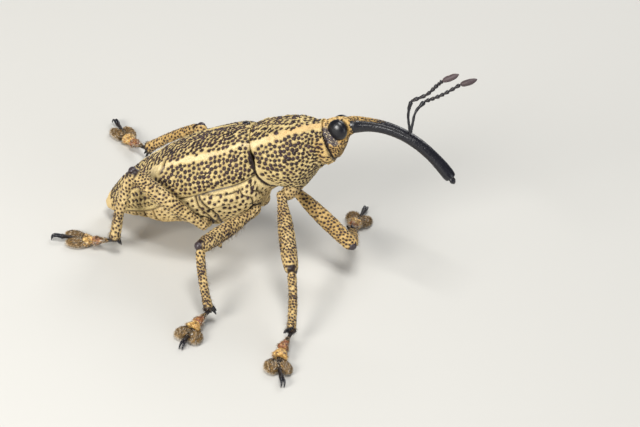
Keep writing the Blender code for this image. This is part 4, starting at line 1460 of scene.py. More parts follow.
    def sowing(self, at: Places, rng: Rng) -> Sowing:
        """Round grains on the sides, slanting ones before them, and small narrow ones below.

        Args:
            at: places on the skin.
            rng: where the strays come from.

        Returns:
            The growth at each place.
        """
        over = self.over(at.v)
        low = smooth(over, 100.0, 122.0)
        front = smooth(at.u, 19.8, 21.3)
        gap, long, wide, tall, lean = blended(self.growth, low, front)
        gap = gap * rng.choice(GAP_STRAYS, len(at.u))
        lean = np.where(at.v < 180.0, -lean, lean)
        stripe = self.marks(at).stripe
        keep = self.likely * (1.0 - smooth(stripe, 0.3, 0.6)) * (self.rear_band(at) < 0.3)
        keep = keep * (over > self.ridge_reach + 1.0) * (at.u > 15.62) * (at.u < 22.25)
        keep = keep * (1 - 0.6 * smooth(at.u, 22.0, 22.15) * smooth(over, 80.0, 95.0))
        return Sowing(gap, long, wide, tall, lean, keep)

    def extra_grains(self, rng: Rng) -> list[Grains]:
        """The ridges that crowd the back, slanting in towards its middle, shorter from band to band.

        Args:
            rng: where the strays come from.

        Returns:
            The ridges, as long narrow grains.
        """
        at = self.at(*self.rows(0.07, 0.07, rng, 0.5))
        x, y, z = at.points.T
        grown = (self.over(at.v) < self.ridge_reach) & (self.marks(at).stripe <= 0.4)
        cos, sin = math.cos(self.ridge_turn), math.sin(self.ridge_turn)
        bands = []
        for first, last, room, long, wide in self.ridge_bands:
            here = np.flatnonzero((at.u > first) & (at.u < last) & grown)
            ahead, inward, up = x[here], -np.abs(y[here]), z[here]
            # Room measured along and across the ridges, with the two sides of the back apart
            down = (ahead * cos + inward * sin) * self.ridge_gap / room + 50.0 * (y[here] > 0)
            rooms = np.stack((down, inward * cos - ahead * sin, 0.3 * up), 1)
            gaps, keep = (np.full(len(here), value) for value in (self.ridge_gap, 0.98))
            chosen = here[spaced(rooms, gaps, keep, rng)]
            count = len(chosen)
            long = long * rng.uniform(0.7, 1.15, count)
            lean = np.where(at.v[chosen] < 90.0, 1.0, -1.0) * (self.ridge_turn + rng.normal(0.0, 0.14, count))
            wide = wide * rng.uniform(0.85, 1.2, count)
            bands.append(Grains(at.u[chosen], at.v[chosen], long, wide, np.full(count, 0.09), lean))
        return bands


@dataclass
class HeadSkin(Ring):
    """The skin of the head, running back into the fore body."""

    half_width: Profile = Profile((
        (21.8, 1.6), (22.2, 1.84), (22.6, 1.92), (23.1, 1.86), (23.6, 1.66), (24.1, 1.38), (24.5, 1.1),
        (25.0, 0.84),
    ))
    top: Profile = Profile((
        (21.8, 1.5), (22.2, 1.74), (22.6, 1.88), (23.2, 1.92), (23.8, 1.88), (24.5, 1.68), (25.0, 1.52),
    ))
    under: Profile = Profile((
        (21.8, -1.7), (22.6, -1.9), (23.1, -1.82), (23.55, -1.4), (24.0, -0.9), (24.4, -0.32), (25.0, -0.06),
    ))
    eye: Triple = (23.75, 1.15, 0.82)
    eye_half: Triple = (0.98, 0.62, 1.02)
    wrinkle_turn: float = 205.0  # degrees round the eye from straight ahead, upwards
    bright_turn: float = 305.0
    socket_depth: float = 0.3
    neck_x: float = 22.62
    # Distances from the middle of the eye, one at its rim, and heights, over which each field ends
    wrinkle_rim: tuple[float, float] = (1.36, 1.46)
    bright_rim: tuple[float, float] = (1.16, 1.28)
    socket_rim: tuple[float, float] = (0.98, 1.03)
    neck_top: tuple[float, float] = (0.8, 1.25)
    crown: tuple[float, float] = (1.3, 1.6)
    eyes_apart: float = 0.55  # nothing nearer the head's middle than this is part of a socket
    grains: tuple[float, ...] = (0.205, 0.112, 0.08, 0.04, 0.9)  # gap, half length, half width, height, lean

    def __post_init__(self) -> None:
        """Sets the spans."""
        self.u_span = (21.8, 25.0)
        self.v_span = (0.0, 360.0)

    def place(self, u: Array, v: Array) -> Array:
        """Points of the head."""
        y, z, _ = self.ring(u, v)
        return np.stack((u, y, z), -1)

    def from_eye(self, points: Array) -> tuple[Array, Array]:
        """Where points lie round the nearer eye, seen from its side.

        Args:
            points: places on the head.

        Returns:
            The distance from the eye's middle, one at its rim, and the turn from straight ahead,
            upwards, in degrees.
        """
        ahead = (points[:, 0] - self.eye[0]) / self.eye_half[0]
        above = (points[:, 2] - self.eye[2]) / self.eye_half[2]
        between = 1.0 * (np.abs(points[:, 1]) < self.eyes_apart)
        return np.hypot(ahead, above) + between, np.degrees(np.arctan2(above, ahead))

    def marks(self, at: Places) -> Marks:
        """Golden, with a dark wrinkled field behind the eyes and a bright rim below them.

        Args:
            at: places on the skin.

        Returns:
            The shares at each place.
        """
        rim, turn = self.from_eye(at.points)
        behind = smooth(np.cos(np.radians(turn - self.wrinkle_turn)), 0.4, 0.7)
        wrinkled = behind * (1 - smooth(rim + 0.06 * ripple(at.points, 0.5, 15), *self.wrinkle_rim))
        # The neck is dark, partly bare shell and partly painted shade where the head goes in under the fore body.
        neck = 1 - smooth(at.points[:, 0] + 0.05 * ripple(at.points, 0.6, 16), self.neck_x, self.neck_x + 0.1)
        neck = neck * (1 - smooth(at.points[:, 2], *self.neck_top))
        socket = 1 - smooth(rim, *self.socket_rim)
        below = smooth(np.cos(np.radians(turn - self.bright_turn)), 0.45, 0.8)
        bright = (1 - smooth(rim, *self.bright_rim)) * below
        top = smooth(at.points[:, 2], *self.crown)
        grey = np.where(wrinkled > neck, 1.0, 0.5 * top + 0.3 * bright)
        gold = np.clip(0.6 + 0.4 * bright, 0, 1) * np.ones(len(at.u))
        return Marks(grey, gold, np.maximum(np.maximum(wrinkled, neck), socket))

    def relief(self, at: Places) -> Array:
        """A socket for each eye, and wrinkles behind it.

        Args:
            at: places on the skin.

        Returns:
            The height at each place.
        """
        rim, _ = self.from_eye(at.points)
        bare = self.marks(at).bare
        socket = -self.socket_depth * (1 - smooth(rim, 0.92, 1.1))
        return socket + 0.045 * bare * ripple(at.points, 0.3, 8) * smooth(rim, 1.0, 1.1)

    def scaled(self, at: Places) -> Array:
        """Scales but on the dark fields."""
        return (self.marks(at).bare < 0.4) * (self.from_eye(at.points)[0] > 1.04)

    def sowing(self, at: Places, rng: Rng) -> Sowing:
        """Fine dark points below and behind the eyes, few on the crown.

        Args:
            at: places on the skin.
            rng: not used.

        Returns:
            The growth at each place.
        """
        top = smooth(at.points[:, 2], 1.2, 1.5)
        keep = 0.97 * (self.from_eye(at.points)[0] > 1.14) * (self.marks(at).bare < 0.3)
        keep = keep * (1 - 0.6 * top)
        return Sowing(*self.grains, keep)


@dataclass
class Limb(Skin):
    """A round skin along a middle line. u is the share of the way along it, v the turn round it."""

    path: Path
    radii: Profile
    toward: Array  # where v = 0 looks
    u_span: tuple[float, float] = (0.0, 1.0)
    wide: float = 1.0  # how much wider it is across than it is thick
    rounded: float = 0.05  # the share of u over which each end closes
    gold: float = 0.4
    stripe: float = 0.05
    bare_ends: tuple[float, float] = (-1.0, 2.0)
    knee_from: float = 2.0  # where the bare knee patch starts
    knee_turn: float = 180.0  # the turn at its middle
    knee_half: float = 45.0
    grain_gap: float = 0.31
    grain_size: tuple[float, ...] = (0.15, 0.108, 0.045, 1.2)  # half length, half width, height, lean
    in_trunk: bool = False
    lie: float = 1.0
    bumps: float = 0.02

    def __post_init__(self) -> None:
        """Sets the turn."""
        self.v_span = (0.0, 360.0)
        self.closed = True
        self.toward = unit(np.asarray(self.toward, float))

    def axes(self, u: Array) -> tuple[Array, Array, Array]:
        """The middle line.

        Args:
            u: places along it.

        Returns:
            The points, with the directions along the limb and towards v = 0.
        """
        middle = self.path(u)
        step = 0.004
        along = unit(self.path(u + step) - self.path(u - step))
        side = unit(self.toward - along * (along @ self.toward)[:, None])
        return middle, along, side

    def place(self, u: Array, v: Array) -> Array:
        """Points round the limb, closed at its ends.

        Args:
            u: places along the skin.
            v: places round it.

        Returns:
            The points in the skin's own axes.
        """
        middle, along, side = self.axes(u)
        other = np.cross(side, along)
        gap = np.minimum(u - self.u_span[0], self.u_span[1] - u)
        share = np.clip(gap / self.rounded, 0.0, 1.0)
        radius = self.radii(u) * np.sqrt(np.maximum(1.0 - (1.0 - share) ** 2, 0.0025))
        turn = np.radians(v)
        across = side * (np.cos(turn) * radius)[:, None]
        return middle + across + other * (np.sin(turn) * radius * self.wide)[:, None]

    def marks(self, at: Places) -> Marks:
        """Golden, with bare dark joints.

        Args:
            at: places on the skin.

        Returns:
            The shares at each place.
        """
        first, last = self.bare_ends
        wander = at.u + 0.012 * ripple(at.points, 0.6, 17)
        bare = np.maximum(1 - smooth(wander, first, first + 0.035), smooth(wander, last - 0.035, last))
        away = np.abs(np.mod(at.v - self.knee_turn + 180.0, 360.0) - 180.0) + 9.0 * ripple(at.points, 0.5, 18)
        knee = (1 - smooth(away, self.knee_half - 12.0, self.knee_half + 12.0))
        bare = np.maximum(bare, knee * smooth(wander, self.knee_from, self.knee_from + 0.02))
        paler = 0.2 * ripple(at.points, 2.5, 11)
        return Marks(np.clip(self.stripe + paler, 0, 1), np.full(len(at.u), self.gold), bare)

    def relief(self, at: Places) -> Array:
        """Small unevenness."""
        return self.bumps * ripple(at.points, 0.7, 12)

    def scaled(self, at: Places) -> Array:
        """Scales but on the dark joints."""
        return self.marks(at).bare < 0.35

    def sowing(self, at: Places, rng: Rng) -> Sowing:
        """Small dark grains, closer together in bands across the limb.

        Args:
            at: places on the skin.
            rng: not used.

        Returns:
            The growth at each place.
        """
        band = 0.5 + 0.5 * ripple(at.points, 1.3, 13)
        gap = self.grain_gap * (0.8 + 0.35 * np.clip(band, 0, 1))
        return Sowing(gap, *self.grain_size, 0.97 * (self.marks(at).bare < 0.3))


@dataclass
class Ball(Skin):
    """An ellipsoid, turned about its middle. u runs from pole to pole, v round it."""

    centre: Array
    half: Triple
    turn: Array = field(default_factory=lambda: np.eye(3))
    in_trunk: bool = True
    gold: float = 1.0
    stripe: float = 0.3
    floor: bool = False
    grains: tuple[float, ...] = (0.29, 0.12, 0.085, 0.045, 0.8)  # gap, half length, half width, height, lean

    def __post_init__(self) -> None:
        """Sets the spans."""
        self.u_span, self.v_span = (-89.0, 89.0), (0.0, 360.0)
        self.closed = True

    def place(self, u: Array, v: Array) -> Array:
        """Points of the ellipsoid, whose poles lie on its own x axis.

        Args:
            u: places along the skin.
            v: places round it.

        Returns:
            The points in the skin's own axes.
        """
        rise, turn = np.radians(u), np.radians(v)
        shape = np.stack((np.sin(rise), np.cos(rise) * np.cos(turn), -np.cos(rise) * np.sin(turn)), -1)
        points = (shape * self.half) @ self.turn.T + self.centre
        if self.floor:
            points[..., 2] = np.maximum(points[..., 2], 0.0)
        return points

    def marks(self, at: Places) -> Marks:
        """One colour all over."""
        flat = np.zeros(len(at.u))
        return Marks(flat + self.stripe, flat + self.gold, flat)

    def sowing(self, at: Places, rng: Rng) -> Sowing:
        """Small scattered grains."""
        return Sowing(*self.grains, 0.93)


def curve_through(points: Table) -> Path:
    """A smooth path through a few points.

    Args:
        points: the points, in order.

    Returns:
        The path, as a function of the share of the way along it.
    """
    knots = np.array(points, float)
    before = np.concatenate(([2 * knots[0] - knots[1]], knots, [2 * knots[-1] - knots[-2]]))
    slopes = (before[2:] - before[:-2]) / 2

    def path(share: Array) -> Array:
        """The path's points.

        Args:
            share: how far along the path each point lies, 0 to 1.

        Returns:
            One point for each share.
        """
        at = np.asarray(share, float) * (len(knots) - 1)
        i = np.clip(np.floor(at).astype(int), 0, len(knots) - 2)
        t = (at - i)[:, None]
        inside = np.clip(t, 0.0, 1.0)
        a, b = knots[i], knots[i + 1]
        bend = (
            a * (1 + 2 * inside) * (1 - inside) ** 2 + b * inside**2 * (3 - 2 * inside)
            + slopes[i] * inside * (1 - inside) ** 2 - slopes[i + 1] * inside**2 * (1 - inside)
        )
        return bend + (t - inside) * (b - a)

    return path


def bezier_path(*knots: Array) -> Path:
    """A path from its first knot to its last, which bends towards those between.

    Args:
        knots: the knots, in order.

    Returns:
        The path, as a function of the share of the way along it.
    """
    last = len(knots) - 1

    def path(share: Array) -> Array:
        """The path's points.

        Args:
            share: how far along the path each point lies, 0 to 1.

        Returns:
            One point for each share.
        """
        t = np.asarray(share, float)[:, None]
        weights = (math.comb(last, k) * (1 - t) ** (last - k) * t**k for k in range(last + 1))
        return sum(weight * np.asarray(knot) for weight, knot in zip(weights, knots))

    return path


def bowed_path(start: Array, end: Array, bow: Array) -> Path:
    """A path between two ends that bows out in the middle.

    Args:
        start: where it starts.
        end: where it ends.
        bow: how far the middle bows out.

    Returns:
        The path, as a function of the share of the way along it.
    """

    def path(share: Array) -> Array:
        """The path's points."""
        t = np.asarray(share, float)[:, None]
        return start * (1 - t) + end * t + bow * np.sin(math.pi * t)

    return path


def add_smooth(pile: Pile, skin: Skin, island: Island, fine: float, tone: float = 0.0) -> None:
    """Adds a bare skin with no coat, such as a claw.

    Args:
        pile: where it goes.
        skin: its shape.
        island: its place on the OFBake map.
        fine: how far apart its points lie.
        tone: what its finish reads beside its own marks, the same all over.
    """
    u, v = skin.lattice(fine)
    at = skin.frame(u.ravel(), v.ravel())
    points = at.points + at.outward * skin.relief(at)[:, None]
    values = {**vars(skin.marks(at)), "tone": np.full(len(points), tone)}
    skin.add_mesh(pile, island, at, u.shape[1], points, values)


def cones(root: Array, aim: Array, tip: Array, beside: Array, radius: float) -> Array:
    """Draws long thin cones, such as hairs.

    Args:
        root: the middle of each one's foot.
        aim: its direction.
        tip: its tip.
        beside: a direction across it.
        radius: of its foot.

    Returns:
        Three corners round the foot of each cone, and its tip.
    """
    side = unit(np.cross(aim, beside))
    other = np.cross(aim, side)
    turns = (2 * math.pi * k / 3 for k in range(3))
    ring = [root + (side * math.cos(turn) + other * math.sin(turn)) * radius for turn in turns]
    return np.stack((*ring, tip), 1)


def add_hairs(pile: Pile, skin: Skin, island: Island, rng: Rng, hairs: Hairs) -> None:
    """Adds fine hairs to part of a skin, each a long thin cone.

    Args:
        pile: where they go.
        skin: what they grow on.
        island: the skin's place on the OFBake map.
        rng: where their strays come from.
        hairs: how they grow.
    """
    u = rng.uniform(*hairs.u_span, hairs.count)
    v = rng.uniform(*hairs.v_span, hairs.count)
    at = skin.frame(u, v)
    length = hairs.length * rng.uniform(0.6, 1.25, hairs.count)[:, None]
    forward = at.along * skin.lie * hairs.lean + at.outward * (1 - hairs.lean * 0.6)
    aim = unit(forward + rng.normal(0.0, hairs.stray, (hairs.count, 3)))
    tip = at.points + aim * length
    if not skin.in_trunk:
        tip[:, 2] = np.maximum(tip[:, 2], 0.02)
    points = skin.to_scene(cones(at.points - aim * 0.06, aim, tip, at.across + 1e-4, hairs.radius))
    points[..., 2] = np.maximum(points[..., 2], 0.0)
    values = {
        "tone": hairs.tone + 0.3 * rng.normal(size=hairs.count) + hairs.mottle * ripple(at.points, 0.16),
        "gold": hairs.gold + 0.35 * (hairs.gold > 0) * rng.normal(size=hairs.count),
    }
    pile.add_copies(points, HAIR_SHAPE, values, island.spread(skin, u, v))


@dataclass(frozen=True)
class Hairs:
    """How a growth of fine hairs stands."""

    count: int
    length: float
    radius: float = 0.012
    lean: float = 0.6  # towards the skin
    stray: float = 0.2
    u_span: tuple[float, float] = (0.05, 0.95)
    v_span: tuple[float, float] = (0.0, 360.0)
    tone: float = 0.5  # from brown to white
    gold: float = 0.0
    mottle: float = 0.0  # how far their tone goes from patch to patch


class Piles(dict[str, Pile]):
    """The pieces that the weevil is gathered into, by their names."""

    def __missing__(self, name: str) -> Pile:
        """Starts a piece."""
        self[name] = Pile(name)
        return self[name]


@dataclass
class Trunk:
    """The wing cases, the body below them and the fore body."""

    wings_low: float = 0.5  # where their islands start on the map
    shell_middle: Triple = (15.0, 0.0, 3.5)  # of the scutellum
    shell_half: Triple = (0.5, 0.45, 0.3)

    def build(self, piles: Piles) -> None:
        """Adds the trunk's skins, grains and scales.

        Args:
            piles: the pieces.
        """
        low = self.wings_low
        dresses = {
            "wing_case_left": Dress(Elytron(Side.LEFT), Island(0.0, low, 0.5, 1.0), 1),
            "wing_case_right": Dress(Elytron(Side.RIGHT), Island(0.5, low, 1.0, 1.0), 2),
            "underside": Dress(Underside(), Island(0.0, 0.0, 0.5, low), 3, crack_share=0.12),
            "fore_body": Dress(ForeBody(), Island(0.5, 0.0, 1.0, low), 4, crack_share=0.4),
        }
        for coat, dress in dresses.items():
            dress.grow(piles, "trunk", coat)
        shell = Ball(np.array(self.shell_middle), self.shell_half)
        add_smooth(piles["scutellum_shell"], shell, Island(), 0.05)


@dataclass
class SnoutSkin(Limb):
    """The snout's shell, with grooves along its sides, a keel on each side of its back and pits."""

    pits: int = 1500
    pit_radius: float = 0.045
    pit_depth: float = 0.022
    grain_gap: float = 0.28
    grain_size: tuple[float, ...] = (0.06, 0.05, 0.03, 0.0)
    # The furrow, ridge and keel along its sides: degrees over the side's middle, reach, height
    furrow: Triple = (14.0, 9.0, -0.07)
    ridge: Triple = (30.0, 7.0, 0.045)
    keel: Triple = (68.0, 8.0, 0.03)

    def __post_init__(self) -> None:
        """Lays the pits out."""
        super().__post_init__()
        rng = np.random.default_rng(SEED + 60)
        u, v = rng.uniform(0.06, 0.97, self.pits), rng.uniform(0.0, 360.0, self.pits)
        self.pit_web = Web(self.place(u, v), np.full(self.pits, self.pit_radius))

    def relief(self, at: Places) -> Array:
        """Furrows, ridges, keels and pits.

        Args:
            at: places on the skin.

        Returns:
            The height at each place.
        """
        side = np.abs(np.mod(at.v, 180.0) - 90.0)  # 90 at both sides, 0 above and below
        above = np.sin(np.radians(at.v)) < 0
        run = smooth(at.u, 0.1, 0.16) * fall(at.u, 0.56, 0.64)
        low = np.where(above, 90.0 - side, side - 90.0)  # degrees over the middle of the side
        forms = (self.furrow, self.ridge, self.keel)
        furrow, ridge, keel = (height * bell(low, middle, reach) for middle, reach, height in forms)
        furrow = furrow * run
        ridge = ridge * smooth(at.u, 0.1, 0.2) * fall(at.u, 0.7, 0.95)
        keel = keel * fall(at.u, 0.35, 0.6)
        pit = -self.pit_depth * (1 - smooth(self.pit_web.away(at.points, 2), -self.pit_radius, 0.0))
        return furrow + ridge + keel + pit * (1 - 0.5 * run * (furrow < -0.03))

    def marks(self, at: Places) -> Marks:
        """Golden only on the top of its base.

        Args:
            at: places on the skin.

        Returns:
            The shares at each place.
        """
        top = -np.sin(np.radians(at.v))
        golden = smooth(top, 0.45 + 0.9 * np.maximum(at.u - 0.1, 0.0), 0.8) * fall(at.u, 0.22, 0.4)
        return Marks(0.25 * golden, np.full(len(at.u), 0.8), 1.0 - golden)

    def scaled(self, at: Places) -> Array:
        """Scales only on the top of its base."""
        return 1.0 - self.marks(at).bare

    def sowing(self, at: Places, rng: Rng) -> Sowing:
        """Fine dark points among those scales."""
        return Sowing(self.grain_gap, *self.grain_size, 0.9 * (self.marks(at).bare < 0.6))


@dataclass
class Head:
    """The head with its eyes, and the long curved snout with its jaws."""

    snout_points: Table = (
        (24.1, 0.0, 0.9), (28.0, 0.0, 0.45), (30.9, 0.0, -1.7), (32.7, 0.0, -6.75),
    )
    snout_radii: Profile = Profile((
        (0.0, 0.7), (0.07, 0.8), (0.11, 0.79), (0.17, 0.71), (0.25, 0.63), (0.4, 0.59), (0.6, 0.57),
        (0.8, 0.57), (0.94, 0.61), (0.985, 0.55), (1.0, 0.45),
    ))
    eye_turn: float = math.radians(-14.0)
    flake: Triple = (0.13, 0.09, 0.03)
    flake_gaps: tuple[float, float] = (0.09, 0.08)
    # How far ahead of the snout's end, and how far beside it, each jaw starts, bends and ends
    jaw_places: Table = ((-0.25, 0.22), (0.2, 0.42), (0.45, 0.06))
    jaw_radii: Profile = Profile(((0.0, 0.2), (0.5, 0.22), (1.0, 0.07)))

    def build(self, piles: Piles) -> None:
        """Adds the head, the eyes and the snout.

        Args:
            piles: the pieces.
        """
        skin = HeadSkin()
        dress = Dress(
            skin, Island(0.0, 0.8, 0.5, 1.0), 20, fine=0.075, depth=0.05, puff=0.03,
            flake=self.flake, flake_gaps=self.flake_gaps, crack_share=0.1, crack_half=0.02,
        )
        dress.grow(piles, "limbs", "head")
        for side in Side:
            centre = np.array(skin.eye) * (1, side.value, 1)
            turn = np.array(Matrix.Rotation(-side.value * self.eye_turn, 3, "Z"))
            island = Island(0.5 * (side is Side.LEFT), 0, 1, 1)
            add_smooth(piles["eyes"], Ball(centre, skin.eye_half, turn), island, 0.05)
        self.add_snout(piles)

    def add_snout(self, piles: Piles) -> None:
        """Adds the snout's shell, the scales on its base and its jaws.

        Args:
            piles: the pieces.
        """
        path = bezier_path(*self.snout_points)
        snout = SnoutSkin(
            path, self.snout_radii, np.array((0, 1, 0)), (0.02, 1.0), rounded=0.012, gold=0.8, in_trunk=True,
        )
        add_smooth(piles["snout"], snout, Island(0, 0, 1, 0.8), 0.055)
        scales = Dress(
            snout, Island(0.5, 0.8, 1.0, 1.0), 21, depth=0.0, puff=0.0,
            flake=self.flake, flake_gaps=self.flake_gaps, crack_share=0.0,
        )
        scales.add_grains(piles["grains_limbs"])
        scales.add_flakes(piles["coat_head"])
        before, end = path(np.array((0.999, 1.0)))
        along = unit(end - before)
        for side in Side:
            knots = (end + along * ahead + (0, side.value * beside, 0) for ahead, beside in self.jaw_places)
            jaw = Limb(bezier_path(*knots), self.jaw_radii, np.array((1, 0, 0)), in_trunk=True)
            add_smooth(piles["snout"], jaw, Island(0, 0.8, 1, 1), 0.05)


@dataclass
class Feeler:
    """One elbowed feeler: the scape, seven beads and the club."""

    side: Side
    scape: Table
    funicle: Table
    club: Table
    scape_radii: Profile = Profile(((0.0, 0.13), (0.6, 0.13), (0.88, 0.2), (1.0, 0.22)))
    bead_radii: Profile = Profile(((0.0, 0.1), (0.25, 0.13), (0.72, 0.2), (1.0, 0.17)))
    club_radii: Profile = Profile((
        (0.0, 0.14), (0.1, 0.22), (0.3, 0.29), (0.55, 0.3), (0.8, 0.22), (0.95, 0.12), (1.0, 0.1),
    ))
    beads: int = 7
    bead_hairs: Hairs = Hairs(14, 0.16, 0.008, 0.7, 0.15)
    club_hairs: Hairs = Hairs(90, 0.12, 0.007, 0.75, 0.15)

    def build(self, piles: Piles, island: Island) -> None:
        """Adds the feeler.

        Args:
            piles: the pieces.
            island: its place on the OFBake map.
        """
        rng = np.random.default_rng(SEED + 70 + self.side.value)
        feelers, ahead = piles["feelers"], np.array((1.0, 0.0, 0.0))
        scape = Limb(curve_through(self.scape), self.scape_radii, ahead, in_trunk=True, rounded=0.08)
        add_smooth(feelers, scape, island, 0.06)
        path = curve_through(self.funicle)
        for i in range(self.beads):
            start, end = i / self.beads - 0.01, (i + 1) / self.beads + 0.01

            def bead_path(share: Array, start: float = start, end: float = end) -> Array:
                """The bead's part of the funicle."""
                return path(start + (end - start) * np.asarray(share))

            bead = Limb(bead_path, self.bead_radii, UP, in_trunk=True, rounded=0.2, bumps=0.01)
            add_smooth(feelers, bead, island, 0.055, 0.1)
            add_hairs(piles["hairs"], bead, island, rng, self.bead_hairs)
        club = Limb(curve_through(self.club), self.club_radii, UP, in_trunk=True, rounded=0.14, bumps=0.012)
        add_smooth(feelers, club, island, 0.05, 1.0)
        add_hairs(piles["hairs"], club, island, rng, self.club_hairs)


@dataclass
class Foot:
    """One foot: two short segments, two lobes, the last segment and its claws."""

    piles: Piles
    island: Island
    ankle: Array  # where it starts
    pad: Array  # the point of the floor under its lobes
    claw: Array  # the point of the floor under its claws
    seed: int
    joints: Table = ((0.46, 0.72, -0.25), (0.7, 0.5, -0.18))  # share of the way, height, lean
    arch: float = 0.08  # how far the middles of the segments rise
    overlap: tuple[float, float] = (0.12, 0.1)
    throat: tuple[float, float] = (0.1, 0.41)  # where the segments end, ahead of the pad and over it
    # Segments: radii, gold, how much wider than thick, and where the dark end starts
    segments: tuple[tuple, ...] = (
        (Profile(((0.0, 0.15), (0.35, 0.16), (0.62, 0.25), (0.9, 0.46), (1.0, 0.42))), 0.05, 1.2, 0.5),
        (Profile(((0.0, 0.22), (0.25, 0.32), (0.6, 0.47), (0.9, 0.6), (1.0, 0.5))), 0.95, 1.25, 0.08),
        (Profile(((0.0, 0.2), (0.3, 0.2), (1.0, 0.14))), 0.0, 1.2, 1.0),
    )
    bristles: Hairs = Hairs(170, 0.24, 0.032, 0.9, 0.14, (0.3, 0.95), tone=0.38, mottle=0.5)
    side_bristles: Hairs = Hairs(46, 0.3, 0.014, 0.65, 0.15, (0.5, 0.97), tone=0.8)
    side_bristle_spans: Table = ((60.0, 120.0), (240.0, 300.0))
    pad_half: Triple = (0.98, 0.68, 0.36)
    pad_spread: float = 0.57
    pad_splay: float = math.radians(12.0)
    pad_height: float = 0.3
    # The pile of each lobe: golden above, and dark in the cleft and at its rear
    pad_pile: Hairs = Hairs(420, 0.26, 0.034, 0.88, 0.18, (-75.0, 85.0), (180.0, 360.0), 0.27, 0.2, 0.55)
    cleft_pile: Hairs = Hairs(200, 0.2, 0.036, 0.8, 0.15, (-80.0, 45.0), tone=-0.8)
    cleft_spans: Table = ((180.0, 232.0), (308.0, 360.0))
    rear_pile: Hairs = Hairs(260, 0.2, 0.036, 0.8, 0.15, (-85.0, -32.0), (180.0, 360.0), -0.8)
    fringe_count: int = 380
    fringe_length: tuple[float, float] = (0.12, 0.27)
    fringe_radius: float = 0.022
    stalk_place: tuple[float, float] = (-0.3, 0.4)
    stalk_arch: float = 0.14
    stalk_radii: Profile = Profile(((0.0, 0.14), (0.5, 0.17), (0.9, 0.24), (1.0, 0.22)))
    claw_reach: float = 0.8
    claw_height: float = 0.5
    claw_spread: float = 0.15
    claw_start: tuple[float, float] = (-0.15, 0.12)  # ahead of the stalk's tip, and beside it
    claw_bend: tuple[float, float] = (0.9, 0.3)  # ahead of the stalk's tip, and over it
    claw_lift: float = 0.06
    claw_radii: Profile = Profile(((0.0, 0.15), (0.5, 0.11), (1.0, 0.04)))

    def __post_init__(self) -> None:
        """Finds the foot's directions."""
        self.rng = np.random.default_rng(SEED + 200 + self.seed)
        self.forward = unit(self.claw - self.pad)
        self.across = np.array((-self.forward[1], self.forward[0], 0.0))

    def build(self) -> None:
        """Adds the segments, the lobes and the claws."""
        knots = [self.ankle]
        for share, height, lean in self.joints:
            level = self.ankle + (self.pad - self.ankle) * share
            knots.append(np.array((level[0] + lean, level[1], height)))
        knots.append(self.pad + self.forward * self.throat[0] + UP * self.throat[1])
        for (radii, gold, wide, dark), start, end in zip(self.segments, knots, knots[1:]):
            step = unit(end - start)
            back, ahead = self.overlap
            path = bezier_path(start - step * back, (start + end) / 2 + UP * self.arch, end + step * ahead)
            segment = Limb(
                path, radii, UP, wide=wide, rounded=0.1, gold=gold, bare_ends=(dark, 2.0), bumps=0.03
            )
            add_smooth(self.piles["feet"], segment, self.island, 0.06)
            self.add_hairs(segment, replace(self.bristles, gold=gold * 0.4))
            for span in self.side_bristle_spans:
                self.add_hairs(segment, replace(self.side_bristles, v_span=span))
        for side in (-1, 1):
            self.add_pad(side)
        self.add_claws()

    def add_hairs(self, skin: Skin, hairs: Hairs) -> None:
        """Adds bristles to one of the foot's skins."""
        add_hairs(self.piles["hairs"], skin, self.island, self.rng, hairs)

    def add_pad(self, side: int) -> None:
        """Adds one lobe, flat below, with a thick pale fringe round its outer rim.

        Args:
            side: -1 for the lobe on the right of the foot's way forward, 1 for the one on the left.
        """
        heading = math.atan2(self.forward[1], self.forward[0])
        turn = np.array(Matrix.Rotation(heading + side * self.pad_splay, 3, "Z"))
        centre = self.pad + self.across * side * self.pad_spread + UP * self.pad_height
        lobe = Ball(centre, self.pad_half, turn, in_trunk=False, gold=0.3, stripe=0.0, floor=True)
        add_smooth(self.piles["feet"], lobe, self.island, 0.06, 0.8)
        cleft = replace(self.cleft_pile, v_span=self.cleft_spans[0 if side > 0 else 1])
        for hairs in (self.pad_pile, cleft, self.rear_pile):
            self.add_hairs(lobe, hairs)
        self.add_fringe(lobe, side)

    def add_fringe(self, lobe: Ball, side: int) -> None:
        """Adds the fringe of one lobe: a pile over its upper side and long hairs round its rim.

        Args:
            lobe: the lobe.
            side: -1 for the lobe on the right of the foot's way forward, 1 for the one on the left.
        """
        rng, count = self.rng, self.fringe_count
        angle = rng.uniform(-0.35, 1.0, count) * math.pi * 0.78
        rise = rng.uniform(-0.35, 0.75, count)
        shape = np.stack((np.cos(angle) * np.cos(rise), side * np.sin(angle) * np.cos(rise), np.sin(rise)), 1)
        points = (shape * lobe.half) @ lobe.turn.T + lobe.centre
        outward = unit((shape / np.array(lobe.half)) @ lobe.turn.T)
        stray = rng.normal(0.0, 0.12, (count, 3))
        aim = unit(outward * (1, 1, 0.35) + lobe.turn[:, 0] * 0.5 + stray + UP * -0.1)
        length = rng.uniform(*self.fringe_length, count)[:, None]
        points[:, 2] = np.maximum(points[:, 2], 0.04)
        tip = points + aim * length
        tip[:, 2] = np.maximum(tip[:, 2], 0.01)
        corners = cones(points - aim * 0.05, aim, tip, UP, self.fringe_radius)
        corners[..., 2] = np.maximum(corners[..., 2], 0.0)
        u = np.degrees(np.arcsin(np.clip(shape[:, 0], -1, 1)))
        roots = self.island.spread(lobe, u, np.mod(np.degrees(angle), 360.0))
        tone = rng.uniform(0.6, 1.2, count) - 1.2 * np.maximum(shape[:, 2], 0.0)
        values = {"tone": tone, "gold": np.full(count, 0.1)}
        self.piles["hairs"].add_copies(corners, HAIR_SHAPE, values, roots)

